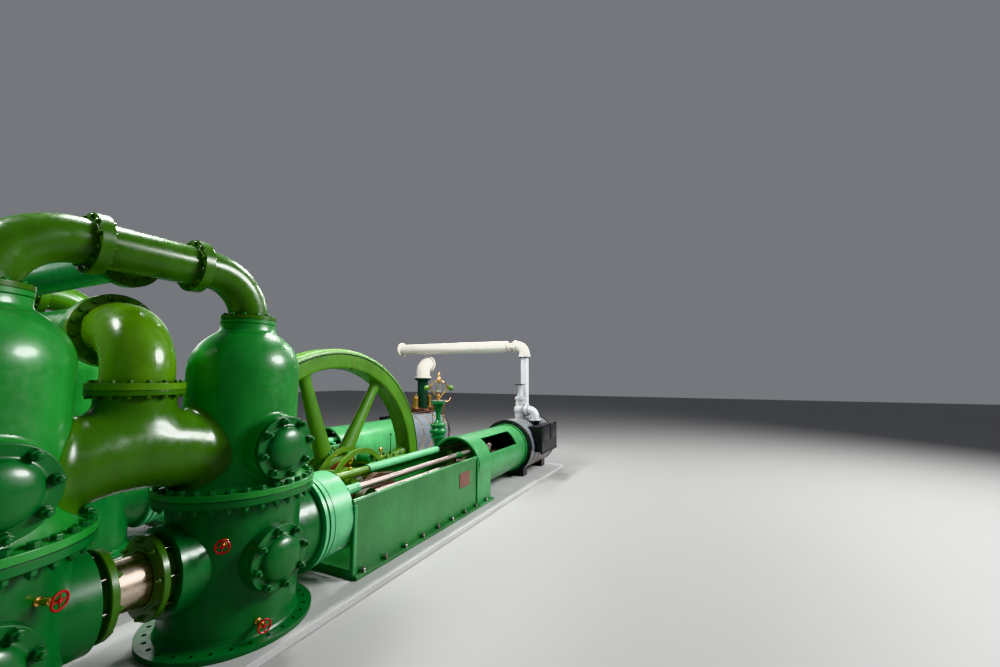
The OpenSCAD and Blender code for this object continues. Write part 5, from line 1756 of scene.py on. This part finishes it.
@dataclass
class FarCylinderGear:
    """Brown valve gear with brass lubricators on top of the far cylinder.

    Attributes:
        spread: Distance of the brass drums from the riser.
        drum_r: Radius of a drum.
    """

    spread: float = 0.42
    drum_r: float = 0.105

    def build(self) -> None:
        """Adds the gear box, its drums and rods."""
        riser = middle("far_steam_riser")
        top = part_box("far_cylinder_lagging")[1].z
        box = Piece("far_gear_box")
        drums = Piece("far_brass_drums")
        rods = Piece("far_gear_rods")
        for way in (-1, 1):
            x = riser.x + way * self.spread
            box.block((x - 0.17, riser.y - 0.20, top - 0.06), (x + 0.17, riser.y + 0.20, top + 0.16), edge=0.03)
            at = Matrix.Translation((x, riser.y, top + 0.16))
            r = self.drum_r
            drums.lathe([(0.001, 0), (r * 1.18, 0), (r * 1.18, 0.03), (r, 0.038), (r, 0.34), (r * 1.12, 0.348),
                         (r * 1.12, 0.372), (r * 0.85, 0.40), (r * 0.4, 0.43), (r * 0.2, 0.45), (r * 0.2, 0.49),
                         (0.001, 0.495)], at, 40)
            drums.bolt_circle((x, riser.y, top + 0.19), (0, 0, 1), r * 1.08, 8, 0.016)
            box.bolt_circle((x, riser.y, top + 0.158), (0, 0, 1), 0.155, 4, 0.036, Hex.NUT, 0.4, 0.5)
        box.lathe([(0.186, top - 0.04), (0.30, top - 0.04), (0.30, top + 0.05), (0.25, top + 0.06),
                   (0.186, top + 0.12)], Matrix.Translation((riser.x, riser.y, 0)), 56)
        box.tube([(riser.x - self.spread, riser.y - 0.16, top + 0.10),
                  (riser.x + self.spread, riser.y - 0.16, top + 0.10)], 0.035, 16)
        rods.tube([(riser.x - 0.85, riser.y - 0.24, top + 0.02), (riser.x + 0.75, riser.y - 0.24, top + 0.02)],
                  0.014, 12)
        for dx in (-0.80, 0.70):
            rods.tube([(riser.x + dx, riser.y - 0.24, top - 0.10), (riser.x + dx, riser.y - 0.24, top + 0.06)],
                      0.02, 12)
        box.done(GEAR_BROWN, slot="crank_brown")
        drums.done(BRASS, slot="governor_brass")
        rods.done(BOLT_STEEL, slot="rod_steel")


# Studio


@dataclass
class Studio:
    """Floor, lights and camera at the photograph's angle.

    Attributes:
        level: Height of the floor round the machine.
        eye: The camera's place.
        right: The camera's right.
        up: The camera's up.
        lens: Focal length on a 36 mm sensor.
        ambient: Strength of the light from all round.
        exposure: Exposure of the view in stops.
        reach: Half of the floor's width.
        pit: Lowest and highest x and y of the hole in the floor.
    """

    ambient: float = 0.24
    exposure: float = 0.0
    level: float = 1.72
    eye: Point = (-7.032, -7.171, 4.65)
    right: Point = (0.4244, -0.9055, 0.0032)
    up: Point = (-0.0938, -0.0405, 0.9948)
    lens: float = 15.2
    reach: float = 60.0
    pit: tuple[float, float, float, float] = (-3.60, 1.78, -1.05, -0.45)

    def build(self) -> None:
        """Sets up the floor, the lights and the camera."""
        self.build_floor()
        self.build_lights()
        self.build_camera()

    def build_floor(self) -> None:
        """A pale floor with the wheel's pit cut out of it."""
        x0, x1, y0, y1 = self.pit
        far, z = self.reach, self.level
        points = [(-far, -far, z), (far, -far, z), (far, far, z), (-far, far, z),
                  (x0, y0, z), (x1, y0, z), (x1, y1, z), (x0, y1, z),
                  (x0, y0, -0.01), (x1, y0, -0.01), (x1, y1, -0.01), (x0, y1, -0.01)]
        faces = [(0, 1, 5, 4), (1, 2, 6, 5), (2, 3, 7, 6), (3, 0, 4, 7),
                 (4, 5, 9, 8), (5, 6, 10, 9), (6, 7, 11, 10), (7, 4, 8, 11), (8, 9, 10, 11)]
        mesh = bpy.data.meshes.new("studio_floor")
        mesh.from_pydata(points, [], faces)
        mesh.materials.append(SHOP.of(Masonry("studio_floor", (0.30, 0.297, 0.288), clouds=0.05)))
        floor = bpy.data.objects.new("studio_floor", mesh)
        bpy.context.scene.collection.objects.link(floor)
        floor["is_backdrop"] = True

    def build_lights(self) -> None:
        """Soft light from above, from the tall windows' side and from beside the camera."""
        world = bpy.data.worlds.new("studio")
        bpy.context.scene.world = world
        world.use_nodes = True
        back = world.node_tree.nodes["Background"]
        back.inputs[0].default_value = (0.90, 0.93, 1.0, 1)
        back.inputs[1].default_value = self.ambient
        view = bpy.context.scene.view_settings
        view.view_transform = "Khronos PBR Neutral"
        view.exposure = self.exposure
        for i in range(5):
            self.lamp(f"overhead_{i}", (-8 + 4 * i, -0.6, 9), (-8 + 4 * i, -0.6, 2), (1.6, 0.9), 330)
        self.lamp("key", (8.5, -16.5, 14), (-2.5, -2, 3.5), (10, 6.0), 5600)
        self.lamp("windows", (-1, 13, 9), (-2, 0, 4), (16, 3), 330)

    def lamp(self, name: str, place: Point, aim: Point, size: tuple[float, float], power: float) -> None:
        """Adds one area light.

        Args:
            name: Its name.
            place: Where it hangs.
            aim: Where it points.
            size: Its sides in metres.
            power: Its power in watts.
        """
        light = bpy.data.lights.new(name, "AREA")
        light.shape, light.size, light.size_y = "ELLIPSE", *size
        light.energy = power
        lamp = bpy.data.objects.new(name, light)
        lamp.location = place
        lamp.rotation_euler = (Vector(aim) - Vector(place)).to_track_quat("-Z", "Y").to_euler()
        bpy.context.scene.collection.objects.link(lamp)

    def build_camera(self) -> None:
        """Puts the camera where the photograph was taken."""
        camera = bpy.data.objects.new("camera", bpy.data.cameras.new("camera"))
        camera.data.lens, camera.data.sensor_width = self.lens, 36.0
        camera.data.clip_start, camera.data.clip_end = 0.05, 200
        right, up = Vector(self.right), Vector(self.up)
        turn = Matrix((right, up, right.cross(up))).transposed().to_4x4()
        camera.matrix_world = Matrix.Translation(self.eye) @ turn
        bpy.context.scene.collection.objects.link(camera)
        bpy.context.scene.camera = camera


def write_sizes() -> None:
    """Measures the CAD model's box and the dressed model's box."""
    boxes = {"cad": CAD_BOX, "visual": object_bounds()}
    {name: [list(low), list(high)] for name, (low, high) in boxes.items()}


def main() -> None:
    """Dresses the engine, piece by piece."""
    logging.basicConfig(level=logging.INFO, format="%(message)s")
    SHOP.paint_frame()
    FlywheelTrim().build()
    for side in Side:
        PumpTrim(side).build()
        FrameTrim(side).build()
        CylinderTrim(side).build()
    SteamTrim().build()
    GovernorTrim().build()
    FarCylinderGear().build()
    build_hand_valves()
    Studio().build()
    write_sizes()


if __name__ == "__main__":
    main()
